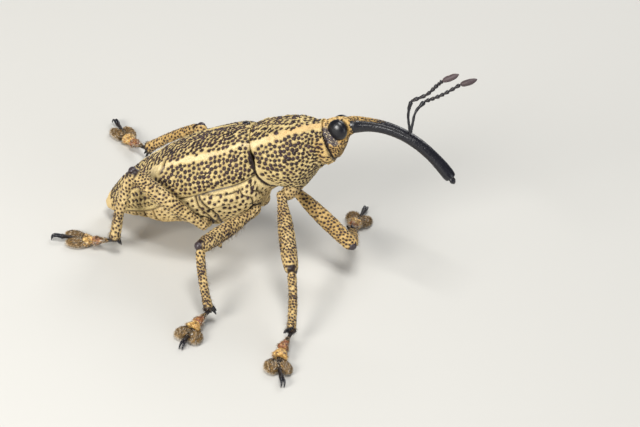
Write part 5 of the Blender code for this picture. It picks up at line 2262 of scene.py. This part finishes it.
    def add_claws(self) -> None:
        """Adds the last segment and its two hooked claws."""
        forward = self.forward
        back, height = self.stalk_place
        root = self.pad - forward * back + UP * height
        tip = self.claw - forward * self.claw_reach + UP * self.claw_height
        path = bezier_path(root, (root + tip) / 2 + UP * self.stalk_arch, tip)
        stalk = Limb(path, self.stalk_radii, UP, rounded=0.1, gold=0.0, bumps=0.015, bare_ends=(-1.0, 0.0))
        add_smooth(self.piles["feet"], stalk, self.island, 0.06, 0.3)
        for side in (-1, 1):
            apart = self.across * side
            start = tip + forward * self.claw_start[0] + apart * self.claw_start[1]
            bend = tip + forward * self.claw_bend[0] + apart * self.claw_spread + UP * self.claw_bend[1]
            end = self.claw + apart * self.claw_spread + UP * self.claw_lift
            hook = Limb(bezier_path(start, bend, end), self.claw_radii, UP, rounded=0.05, bumps=0.0)
            add_smooth(self.piles["claws_and_spurs"], hook, self.island, 0.05)


@dataclass
class Leg:
    """One leg: the hip, the thigh with its tooth, the shin with its spurs, and the foot."""

    side: Side
    hip: Table
    places: Table
    number: int
    hip_turn: float = 0.0
    bow: float = 0.0
    stout: float = 1.0
    gold: float = 0.35
    knee_turn: float = 180.0
    knee_half: float = 45.0
    grain_gap: float = 0.3
    femur_radii: Profile = Profile((
        (-0.04, 0.4), (0.0, 0.43), (0.12, 0.48), (0.34, 0.7), (0.6, 0.8), (0.8, 0.78), (0.93, 0.72),
        (1.0, 0.62), (1.05, 0.42),
    ))
    tibia_points: Table = ((0.0, 0.36), (0.12, 0.45), (0.5, 0.42), (0.88, 0.45), (1.0, 0.5))
    coat_depth: float = 0.045
    joint_step: float = 0.1  # from the hip to the trochanter, and from the ankle to the foot
    knee_place: tuple[float, float] = (-0.17, 0.03)  # of the bare knob, inward and along the thigh
    tooth_share: float = 0.7  # where the tooth stands, as a share of the thigh
    trochanter_half: Triple = (0.48, 0.48, 0.47)
    knee_half_size: Triple = (0.45, 0.45, 0.45)
    tibia_bow: float = -0.22
    tooth_places: Table = ((0.35, 0.0), (0.8, 0.0), (1.15, 0.05))  # inward from the thigh's line, along it
    ankle_spines: Hairs = Hairs(34, 0.26, 0.035, 0.55, 0.2, (0.93, 1.0), tone=0.0)
    femur_hairs: tuple[Hairs, ...] = (
        Hairs(260, 0.2, 0.01, 0.8, 0.15, (0.08, 0.93)),
        Hairs(110, 0.5, 0.012, 0.45, 0.2, (0.15, 0.85), (-28, 28)),
    )
    tibia_hairs: tuple[Hairs, ...] = (
        Hairs(260, 0.22, 0.01, 0.75, 0.15, (0.06, 0.97)),
        Hairs(90, 0.4, 0.012, 0.5, 0.2, (0.2, 0.97), (-40, 40)),
    )
    spur_places: Table = ((-0.25, 0.15), (0.1, 0.7), (0.41, 0.75))
    spur_radii: Profile = Profile(((0.0, 0.18), (0.5, 0.13), (1.0, 0.04)))
    spur_shapes: Table = ((0.0, 1.0), (0.32, 0.62), (-0.32, 0.62))  # how far beside, and how big
    tooth_radii: Profile = Profile(((0.0, 0.34), (0.5, 0.24), (1.0, 0.05)))

    def build(self, piles: Piles, map_cells: Island) -> None:
        """Adds the leg.

        Args:
            piles: where its pieces go.
            map_cells: the part of the OFBake map that the legs share.
        """
        flip = (1, -self.side.value, 1)  # the hips are given for the right side
        centre, half, start = (np.array(part, float) for part in self.hip)
        centre, start = centre * flip, trunk_to_scene(start * flip)
        ground = APEX * (1, 1, 0)
        knee, ankle = (np.array(self.places[k]) + ground for k in (0, 1))
        pad, claw = (np.array((*self.places[k], 0.0)) + ground for k in (2, 3))
        thigh, shin = unit(knee - start), unit(ankle - knee)
        inward = unit(shin - thigh * (shin @ thigh))
        outward = unit(shin * (thigh @ shin) - thigh)
        flank = TRUNK_TURN[:, 1] * self.side.value * self.bow
        cells = [map_cells.cell(4 * self.number + k, 6, 4) for k in range(4)]

        turn = np.array(Matrix.Rotation(math.radians(self.hip_turn), 3, "Y"))
        coxa = Ball(centre, tuple(half * HIP_SWELL), turn, gold=0.15, stripe=0.3)
        self.dress(piles, coxa, cells[0], 0)
        hip = start + thigh * self.joint_step
        trochanter = Ball(hip, self.trochanter_half, in_trunk=False, gold=0.2, stripe=0.3)
        self.dress(piles, trochanter, cells[0], 1)

        femur_path = bowed_path(start, knee, flank)
        femur = Limb(
            femur_path, self.femur_radii, inward, (-0.04, 1.05), gold=self.gold,
            bare_ends=(-1.0, 1.035 if self.side is Side.RIGHT else 2.0), knee_from=0.94,
            knee_turn=self.knee_turn, knee_half=self.knee_half, grain_gap=self.grain_gap,
        )
        self.dress(piles, femur, cells[1], 2)
        radii = Profile(tuple((at, radius * self.stout) for at, radius in self.tibia_points))
        tibia = Limb(
            bowed_path(knee, ankle, outward * self.tibia_bow), radii, inward, (-0.02, 1.02),
            gold=self.gold + 0.1, bare_ends=(0.05, 0.97), grain_gap=self.grain_gap + 0.005,
        )
        self.dress(piles, tibia, cells[2], 3)
        spines, rng = (np.random.default_rng(SEED + first + self.number) for first in (90, 100))
        add_hairs(piles["hairs"], tibia, cells[2], spines, self.ankle_spines)
        for skin, cell, growths in ((femur, cells[1], self.femur_hairs), (tibia, cells[2], self.tibia_hairs)):
            for hairs in growths:
                add_hairs(piles["hairs"], skin, cell, rng, hairs)
        root = femur_path(np.array((self.tooth_share,)))[0]
        tooth_path = bezier_path(*(root + inward * out + thigh * on for out, on in self.tooth_places))
        tooth = Limb(tooth_path, self.tooth_radii, thigh, bare_ends=(-1.0, 0.8), rounded=0.08)
        add_smooth(piles["skin_limbs"], tooth, cells[3], 0.06, -0.3)
        inner, on = self.knee_place
        condyle = Ball(knee + inward * inner + thigh * on, self.knee_half_size, in_trunk=False)
        add_smooth(piles["claws_and_spurs"], condyle, cells[3], 0.07, 0.5)
        self.add_spurs(piles, ankle, shin, outward, cells[3])
        Foot(piles, cells[3], ankle + shin * self.joint_step, pad, claw, self.number).build()

    def dress(self, piles: Piles, skin: Skin, island: Island, number: int) -> None:
        """Adds one segment with its grains and scales.

        Args:
            piles: the pieces.
            skin: its shape.
            island: its place on the OFBake map.
            number: which segment of the leg it is.
        """
        dress = Dress(
            skin, island, 30 + 10 * self.number + number, fine=0.1, depth=self.coat_depth, puff=0.03,
            flake=(0.17, 0.11, 0.03), flake_gaps=(0.125, 0.11), crack_half=0.025, crack_share=0.3,
        )
        dress.grow(piles, "limbs", "legs_" + self.side.name.lower())

    def add_spurs(self, piles: Piles, ankle: Array, shin: Array, outward: Array, island: Island) -> None:
        """Adds the long hooked spur under the ankle and two short ones beside it.

        Args:
            piles: the pieces.
            ankle: where the shin ends.
            shin: its direction.
            outward: the direction out of the leg's bend.
            island: their place on the OFBake map.
        """
        root, bend, tip = (ankle + shin * down + outward * out for down, out in self.spur_places)
        beside = np.cross(shin, outward)
        for apart, size in self.spur_shapes:
            start = root + beside * apart
            end = root + (tip - root) * size + beside * apart * 1.4
            path = bezier_path(start, start + (bend - root) * size, end)
            spur = Limb(path, self.spur_radii, shin, rounded=0.05, bumps=0.0)
            add_smooth(piles["claws_and_spurs"], spur, island, 0.05)


HIP_SWELL = 1.06
KNEE_TURNS = {"front_right": 43.0, "mid_right": 215.0, "hind_right": 235.0}  # degrees, where they aren't 180
FRONT_HIP_TURN = -28.0  # degrees, so that the front hips run up and forward
HIPS = {
    "front": ((17.65, -1.4, -3.6), (1.05, 0.72, 0.7), (16.85, -2.0, -3.6)),
    "mid": ((13.7, -2.2, -4.2), (0.85, 0.8, 0.75), (13.7, -2.9, -4.55)),
    "hind": ((9.2, -2.6, -4.0), (0.6, 1.5, 0.7), (9.2, -4.0, -4.3)),
}
# From the point of the floor under the tip of the wing cases: knee, ankle, foot pads and claws
LEGS = {
    "front_right": ((18.6, -8.6, 4.2), (19.9, -14.4, 1.4), (19.45, -18.7), (20.3, -21.3)),
    "mid_right": ((9.8, -9.8, 5.2), (12.0, -14.0, 1.4), (10.8, -17.05), (10.4, -19.2)),
    "hind_right": ((1.85, -5.1, 8.5), (1.5, -6.4, 1.5), (-2.1, -6.15), (-4.4, -6.7)),
    "front_left": ((23.7, -1.1, 3.6), (23.5, 4.9, 1.2), (23.9, 8.6), (24.4, 11.1)),
    "mid_left": ((9.5, 7.6, 5.3), (11.5, 11.9, 1.4), (12.8, 14.9), (13.7, 17.0)),
    "hind_left": ((6.5, 9.0, 6.35), (1.6, 10.8, 1.4), (-1.3, 14.1), (-2.7, 16.2)),
}
FEELERS = {
    Side.RIGHT: (
        ((30.15, -0.35, -1.65), (30.7, -1.1, 0.42), (31.43, -1.5, 1.68)),
        ((31.43, -1.5, 1.68), (33.13, -1.7, 1.95), (34.22, -1.9, 2.49), (34.93, -2.0, 2.81)),
        ((34.93, -2.0, 2.81), (35.8, -2.1, 2.91), (36.7, -2.2, 3.06)),
    ),
    Side.LEFT: (
        ((30.05, 0.35, -1.7), (30.93, 1.1, 0.08), (32.06, 1.5, 0.89)),
        ((32.06, 1.5, 0.89), (33.21, 1.6, 0.95), (34.33, 1.8, 1.11), (35.68, 2.0, 1.44)),
        ((35.68, 2.0, 1.44), (36.52, 2.05, 1.45), (37.4, 2.1, 1.51)),
    ),
}


class Sock:
    """A socket in shader maths, so that an expression adds its Math nodes."""

    def __init__(self, nodes: NodeKit, link: bpy.types.NodeSocket) -> None:
        """Wraps a socket of a node."""
        self.nodes, self.link = nodes, link

    def math(self, operation: str, other: Sock | float, swapped: bool = False) -> Sock:
        """Adds a Math node for one operation."""
        first, second = (other, self) if swapped else (self, other)
        return self.nodes.add("ShaderNodeMath", {"operation": operation}, {0: first, 1: second})

    def __add__(self, other: Sock | float) -> Sock:
        """The sum."""
        return self.math("ADD", other)

    def __radd__(self, other: float) -> Sock:
        """The sum, from the right."""
        return self.math("ADD", other, True)

    def __sub__(self, other: Sock | float) -> Sock:
        """The difference."""
        return self.math("SUBTRACT", other)

    def __rsub__(self, other: float) -> Sock:
        """The difference, from the right."""
        return self.math("SUBTRACT", other, True)

    def __mul__(self, other: Sock | float) -> Sock:
        """The product."""
        return self.math("MULTIPLY", other)

    def __rmul__(self, other: float) -> Sock:
        """The product, from the right."""
        return self.math("MULTIPLY", other, True)

    def clamped(self) -> Sock:
        """The value held between nothing and one."""
        return self.nodes.add("ShaderNodeClamp", {}, {"Value": self})


class NodeKit:
    """A material under work, with the one method that adds its nodes."""

    def __init__(self, name: str) -> None:
        """Starts the material and finds its shader.

        Args:
            name: its name.
        """
        self.material = bpy.data.materials.new(name)
        self.material.use_nodes = True
        self.tree = self.material.node_tree
        self.shader = self.tree.nodes["Principled BSDF"]

    def add(self, kind: str, settings: dict, inputs: dict, output: str | int = 0) -> Sock:
        """Adds a node.

        Args:
            kind: its type.
            settings: its own settings, set before its sockets.
            inputs: the value or the link of each socket, by name or number.
            output: the socket to go on with.

        Returns:
            That socket.
        """
        node = self.tree.nodes.new(kind)
        for key, value in settings.items():
            setattr(node, key, value)
        for key, value in inputs.items():
            self.join(node.inputs[key], value)
        return Sock(self, node.outputs[output])

    def join(self, socket: bpy.types.NodeSocket, value: Sock | float | tuple) -> None:
        """Sets a socket to a value or links it.

        Args:
            socket: the socket.
            value: the value, or the socket that it comes from.
        """
        if isinstance(value, Sock):
            self.tree.links.new(value.link, socket)
        else:
            socket.default_value = value

    def value_of(self, name: str) -> Sock:
        """A named value that the mesh carries."""
        return self.add("ShaderNodeAttribute", {"attribute_name": name}, {}, "Fac")

    def mixed(self, share: Sock, low: Sock | tuple, high: Sock | tuple) -> Sock:
        """A colour between two, by a share."""
        settings = {"data_type": "RGBA", "clamp_factor": True}
        return self.add("ShaderNodeMix", settings, {0: share, 6: low, 7: high}, 2)

    def noise(self, scale: float, detail: float = 2.0) -> Sock:
        """Fine noise over the object's own space, in features of a millimetre over scale."""
        where = self.add("ShaderNodeTexCoord", {}, {}, "Object")
        return self.add("ShaderNodeTexNoise", {}, {"Vector": where, "Scale": scale / MM, "Detail": detail}, 0)

    def bump(self, height: Sock, strength: float, distance: float) -> None:
        """Feeds the shader's Normal from a height, in millimetres."""
        inputs = {"Height": height, "Strength": strength, "Distance": distance * MM}
        self.join(self.shader.inputs["Normal"], self.add("ShaderNodeBump", {}, inputs, 0))

    def set(self, **values: Sock | float | tuple) -> None:
        """Sets or links the shader's own sockets, named with _ for a space."""
        for key, value in values.items():
            self.join(self.shader.inputs[key.replace("_", " ")], value)


def rgb(red: float, green: float, blue: float) -> Colour:
    """A colour for a socket."""
    return (red, green, blue, 1.0)


@dataclass(frozen=True)
class Finish:
    """A material, painted by its own kind of finish."""

    name: str

    def paint(self, kit: NodeKit) -> None:
        """Adds the finish's nodes to a kit."""
        raise NotImplementedError

    def make(self) -> bpy.types.Material:
        """Builds the material.

        Returns:
            The material.
        """
        kit = NodeKit(self.name)
        self.paint(kit)
        return kit.material


@dataclass(frozen=True)
class CoatFinish(Finish):
    """Matt scales, cream to gold, over dark ground."""

    cream: Colour = rgb(0.71, 0.57, 0.275)
    pale: Colour = rgb(0.84, 0.70, 0.41)
    gold: Colour = rgb(0.64, 0.36, 0.09)
    # The shade colour is also the dark end of the painted shade beside the grains.
    shade: Colour = rgb(0.42, 0.35, 0.26)  # what the darkest scales keep of their colour
    # The ground colour is bare shell, and also painted shade where the skins mark their gaps dark.
    ground: Colour = rgb(0.020, 0.011, 0.010)
    membrane: Colour = rgb(0.075, 0.06, 0.068)
    roughness: float = 0.62
    bare_roughness: float = 0.36

    def paint(self, kit: NodeKit) -> None:
        """Adds the finish's nodes.

        Args:
            kit: the material under work.
        """
        stripe, gold, bare, tone = (kit.value_of(key) for key in ("stripe", "gold", "bare", "tone"))
        colour = kit.mixed(stripe, self.cream, self.pale)
        colour = kit.mixed(gold * 0.85, colour, self.gold)
        # The tone holds random scale tone plus painted shade beside the grains and a painted highlight on the crests.
        share = (0.6 + tone * 0.42 + (kit.noise(3.0) - 0.5) * 0.5).clamped()
        settings = {"data_type": "RGBA", "blend_type": "MULTIPLY"}
        dim = kit.add("ShaderNodeMix", settings, {0: 1.0, 6: colour, 7: self.shade}, 2)
        colour = kit.mixed(share, dim, colour)
        wet = (stripe * 4.0 - 2.8 + (kit.noise(5.0) - 0.5) * 1.2).clamped()
        ground = kit.mixed(wet, self.ground, self.membrane)
        specks = (kit.noise(8.0) * 9.0 - 5.2).clamped() * (stripe * 4.0 - 3.0).clamped()
        ground = kit.mixed(specks, ground, self.pale)
        colour = kit.mixed(bare, colour, ground)
        kit.set(
            Base_Color=colour, Roughness=self.roughness + bare * (self.bare_roughness - self.roughness),
            Specular_IOR_Level=0.3,
        )
        kit.bump(kit.noise(9.0), 0.5, 0.02)


@dataclass(frozen=True)
class GrainFinish(Finish):
    """Dark glossy grains, brown-black with a purple cast."""

    dark: Colour = rgb(0.014, 0.007, 0.007)
    light: Colour = rgb(0.055, 0.028, 0.032)
    roughness: float = 0.42

    def paint(self, kit: NodeKit) -> None:
        """Adds the finish's nodes.

        Args:
            kit: the material under work.
        """
        tone = kit.value_of("tone")
        share = (tone * 0.8 + (kit.noise(4.0) - 0.5) * 0.9).clamped()
        colour = kit.mixed(share, self.dark, self.light)
        kit.set(Base_Color=colour, Roughness=self.roughness, Specular_IOR_Level=0.35)
        kit.bump(kit.noise(12.0), 0.4, 0.02)


@dataclass(frozen=True)
class ShellFinish(Finish):
    """Hard bare shell, from black to brown by its tone."""

    dark: Colour = rgb(0.006, 0.006, 0.010)
    light: Colour = rgb(0.09, 0.06, 0.065)
    roughness: float = 0.27
    grain: float = 0.6

    def paint(self, kit: NodeKit) -> None:
        """Adds the finish's nodes.

        Args:
            kit: the material under work.
        """
        tone = kit.value_of("tone")
        kit.set(
            Base_Color=kit.mixed((tone * 0.8).clamped(), self.dark, self.light),
            Roughness=(self.roughness + (kit.noise(2.0) - 0.5) * 0.14 + tone * 0.15).clamped(),
            Specular_IOR_Level=0.55,
        )
        kit.bump(kit.noise(6.0, 3.0), self.grain, 0.03)


@dataclass(frozen=True)
class EyeFinish(Finish):
    """Smooth black eye, with facets too fine to see singly."""

    dark: Colour = rgb(0.004, 0.004, 0.007)
    roughness: float = 0.31

    def paint(self, kit: NodeKit) -> None:
        """Adds the finish's nodes.

        Args:
            kit: the material under work.
        """
        where = kit.add("ShaderNodeTexCoord", {}, {}, "Object")
        facets = kit.add("ShaderNodeTexVoronoi", {}, {"Vector": where, "Scale": 22.0 / MM}, "Distance")
        kit.set(Base_Color=self.dark, Roughness=self.roughness, Specular_IOR_Level=0.55)
        kit.bump(1 - facets, 0.12, 0.01)


@dataclass(frozen=True)
class FootFinish(Finish):
    """Foot segments, from red-brown to golden, with olive lobes, all dark at their roots, and pale flecks on the
    golden segments painted as highlights.
    """

    brown: Colour = rgb(0.20, 0.065, 0.03)
    gold: Colour = rgb(0.60, 0.33, 0.09)
    # The pale colour is for painted highlights on the golden segments.
    pale: Colour = rgb(0.84, 0.64, 0.26)
    olive: Colour = rgb(0.11, 0.075, 0.03)
    dark: Colour = rgb(0.012, 0.008, 0.008)
    roughness: float = 0.45

    def paint(self, kit: NodeKit) -> None:
        """Adds the finish's nodes.

        Args:
            kit: the material under work.
        """
        gold, bare, lobe = kit.value_of("gold"), kit.value_of("bare"), kit.value_of("tone")
        spots = (kit.noise(3.2) * 8.0 - 4.2).clamped()
        colour = kit.mixed((gold * 0.85 + (kit.noise(4.5) - 0.5) * 3.0).clamped(), self.brown, self.gold)
        # Painted highlights: pale flecks over the golden segments.
        colour = kit.mixed((gold * (kit.noise(6.5) * 9.0 - 4.6)).clamped(), colour, self.pale)
        colour = kit.mixed(lobe, colour, self.olive)
        colour = kit.mixed((bare + spots * 0.85).clamped(), colour, self.dark)
        kit.set(Base_Color=colour, Roughness=self.roughness, Specular_IOR_Level=0.4)
        kit.bump(kit.noise(6.0), 0.5, 0.03)


@dataclass(frozen=True)
class HairFinish(Finish):
    """Fine hairs, from brown to silvery white, or golden."""

    low: Colour = rgb(0.03, 0.018, 0.012)
    middle: Colour = rgb(0.33, 0.21, 0.08)
    high: Colour = rgb(0.80, 0.75, 0.66)
    gold: Colour = rgb(0.62, 0.36, 0.10)
    roughness: float = 0.5

    def paint(self, kit: NodeKit) -> None:
        """Adds the finish's nodes.

        Args:
            kit: the material under work.
        """
        tone = kit.value_of("tone")
        colour = kit.mixed((tone * 2).clamped(), self.low, self.middle)
        colour = kit.mixed((tone * 2 - 1).clamped(), colour, self.high)
        colour = kit.mixed(kit.value_of("gold").clamped(), colour, self.gold)
        kit.set(Base_Color=colour, Roughness=self.roughness)


@dataclass(frozen=True)
class FloorFinish(Finish):
    """A plain pale floor."""

    name: str = "pale_floor"
    colour: Colour = rgb(0.60, 0.59, 0.56)

    def paint(self, kit: NodeKit) -> None:
        """Adds the finish's nodes.

        Args:
            kit: the material under work.
        """
        kit.set(Base_Color=self.colour, Roughness=0.9)


@dataclass(frozen=True)
class Studio:
    """The floor, the lights and the camera."""

    aim: Triple = (6.383, 10.718, 0.022)
    elevation: float = math.radians(32.972)
    roll: float = math.radians(-13.294)
    distance: float = 280.0
    lens: float = 157.5
    sensor: float = 36.0
    nearest: float = 0.01  # metres, where the camera starts to see
    floor_half: float = 1.5
    # Lights: place and aim in millimetres, side length, watts, colour
    lights: tuple[tuple, ...] = (
        ("key", (-140.0, -210.0, 120.0), (0.0, 0.0, 8.0), 90.0, 0.74, (1.0, 0.98, 0.94)),
        ("top", (-20.0, -60.0, 280.0), (0.0, 0.0, 5.0), 110.0, 0.52, (1.0, 0.99, 0.96)),
        ("fill", (230.0, -140.0, 90.0), (0.0, 0.0, 5.0), 160.0, 0.15, (0.94, 0.97, 1.0)),
        ("rim", (60.0, 220.0, 170.0), (0.0, 0.0, 5.0), 120.0, 0.3, (1.0, 1.0, 1.0)),
    )
    sky: Colour = rgb(0.82, 0.85, 0.90)
    sky_strength: float = 0.2

    def build(self) -> None:
        """Sets the stage."""
        mesh = bpy.data.meshes.new("floor")
        reach = self.floor_half
        corners = [(-reach, -reach, 0), (reach, -reach, 0), (reach, reach, 0), (-reach, reach, 0)]
        mesh.from_pydata(corners, [], [(0, 1, 2, 3)])
        mesh.materials.append(FloorFinish().make())
        floor = linked("floor", mesh)
        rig.stage(floor)
        for name, place, aim, size, watts, colour in self.lights:
            lamp = bpy.data.lights.new(name, "AREA")
            lamp.size, lamp.energy, lamp.color = size * MM, watts, colour
            light = linked(name, lamp)
            light.location = Vector(place) * MM
            light.rotation_euler = (Vector(aim) - Vector(place)).to_track_quat("-Z", "Y").to_euler()
        world = bpy.data.worlds.new("studio")
        world.use_nodes = True
        backdrop = world.node_tree.nodes["Background"]
        backdrop.inputs["Color"].default_value = self.sky
        backdrop.inputs["Strength"].default_value = self.sky_strength
        bpy.context.scene.world = world
        bpy.context.scene.view_settings.view_transform = "Standard"
        self.add_camera()

    def add_camera(self) -> None:
        """Places the camera at the photograph's viewing angle."""
        forward = Vector((0.0, math.cos(self.elevation), -math.sin(self.elevation)))
        turn = Matrix.Rotation(self.roll, 3, forward)
        right = turn @ Vector((1.0, 0.0, 0.0))
        up = turn @ Vector((0.0, math.sin(self.elevation), math.cos(self.elevation)))
        lens = bpy.data.cameras.new("camera")
        lens.lens, lens.sensor_width, lens.clip_start = self.lens, self.sensor, self.nearest
        camera = linked("camera", lens)
        columns = Matrix((right, up, -forward)).transposed()
        place = (Vector(self.aim) - forward * self.distance) * MM
        camera.matrix_world = Matrix.Translation(place) @ columns.to_4x4()
        bpy.context.scene.camera = camera


@dataclass
class Weevil:
    """The whole animal."""

    piles: Piles = field(default_factory=Piles)
    hind_bow: float = 0.35
    hind_stout: float = 1.18
    gold_left: float = 0.5
    gold_right: float = 0.1  # of the front and middle legs, and none on the hind one
    fine_gap: float = 0.272  # between the grains of the right front and middle legs
    coarse_gap: float = 0.335

    def build(self) -> None:
        """Gathers every part into the piles."""
        Trunk().build(self.piles)
        LOG.info("trunk gathered")
        Head().build(self.piles)
        for i, (side, (scape, funicle, club)) in enumerate(FEELERS.items()):
            Feeler(side, scape, funicle, club).build(self.piles, Island(0.5 * i, 0.0, 0.5 + 0.5 * i, 1.0))
        LOG.info("head gathered")
        legs = Island(0.0, 0.0, 1.0, 0.8)
        for number, (name, places) in enumerate(LEGS.items()):
            pair, hand = name.split("_")
            side = Side.RIGHT if hand == "right" else Side.LEFT
            hind = pair == "hind"
            leg = Leg(side, HIPS[pair], places, number, FRONT_HIP_TURN if pair == "front" else 0.0)
            leg.bow, leg.stout = (self.hind_bow, self.hind_stout) if hind else (0.0, 1.0)
            leg.gold = self.gold_right * (not hind) if side is Side.RIGHT else self.gold_left
            leg.grain_gap = self.coarse_gap if hind or side is Side.LEFT else self.fine_gap
            leg.knee_turn = KNEE_TURNS.get(name, 180.0)
            leg.knee_half = 0.0 if side is Side.LEFT else 45.0
            leg.build(self.piles, legs)
            LOG.info("leg %s gathered", name)

    def make(self) -> None:
        """Makes the pieces and says which solids they stand for."""
        piles = self.piles
        cream = CoatFinish("cream_coat").make()
        golden = CoatFinish("golden_coat", cream=rgb(0.72, 0.55, 0.26), gold=rgb(0.68, 0.41, 0.11)).make()
        grain = GrainFinish("dark_grain").make()
        shell = ShellFinish("black_shell").make()
        skin = piles["skin_trunk"].make(cream, Slot.CREAM)
        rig.replaces(skin, "abdomen", "thorax", "elytron_left", "elytron_right", "prothorax")
        limbs = piles["skin_limbs"].make(golden, Slot.GOLD)
        parts = [f"{part}_{leg}" for part in ("coxa", "femur", "tibia") for leg in LEGS]
        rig.replaces(limbs, "head", *parts)
        for coat in ("wing_case_left", "wing_case_right", "underside", "fore_body"):
            piles["coat_" + coat].make(cream, Slot.CREAM, False)
        for coat in ("head", "legs_left", "legs_right"):
            piles["coat_" + coat].make(golden, Slot.GOLD, False)
        for part in ("trunk", "limbs"):
            piles["grains_" + part].make(grain, Slot.BLACK)
        piles["hairs"].make(HairFinish("pale_hair").make(), Slot.GOLD)
        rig.replaces(piles["eyes"].make(EyeFinish("eye_gloss").make(), Slot.EYE), "eye_left", "eye_right")
        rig.replaces(piles["snout"].make(shell, Slot.BLACK), "rostrum")
        feeler = ShellFinish("feeler_shell", roughness=0.4).make()
        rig.replaces(piles["feelers"].make(feeler, Slot.BLACK), "antenna_left", "antenna_right")
        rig.replaces(piles["scutellum_shell"].make(shell, Slot.BLACK), "scutellum")
        piles["claws_and_spurs"].make(shell, Slot.BLACK)
        feet = piles["feet"].make(FootFinish("foot_brown").make(), Slot.FOOT)
        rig.replaces(feet, *(f"tarsus_{leg}" for leg in LEGS))


def plain(bounds: tuple) -> list:
    """Bounds as plain lists."""
    return [[float(value) for value in corner] for corner in bounds]


def main() -> None:
    """Loads the solids, builds the looks and keeps their sizes."""
    logging.basicConfig(level=logging.INFO, format="%(name)s: %(message)s")
    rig.load()
    sizes = {"solids": plain(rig.bounds())}
    weevil = Weevil()
    weevil.build()
    weevil.make()
    Studio().build()
    sizes["scene"] = plain(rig.bounds())
    with open(SIZE_FILE, "w", encoding="utf-8") as file:
        json.dump(sizes, file)
    LOG.info("sizes %s", sizes)


if __name__ == "__main__":
    main()
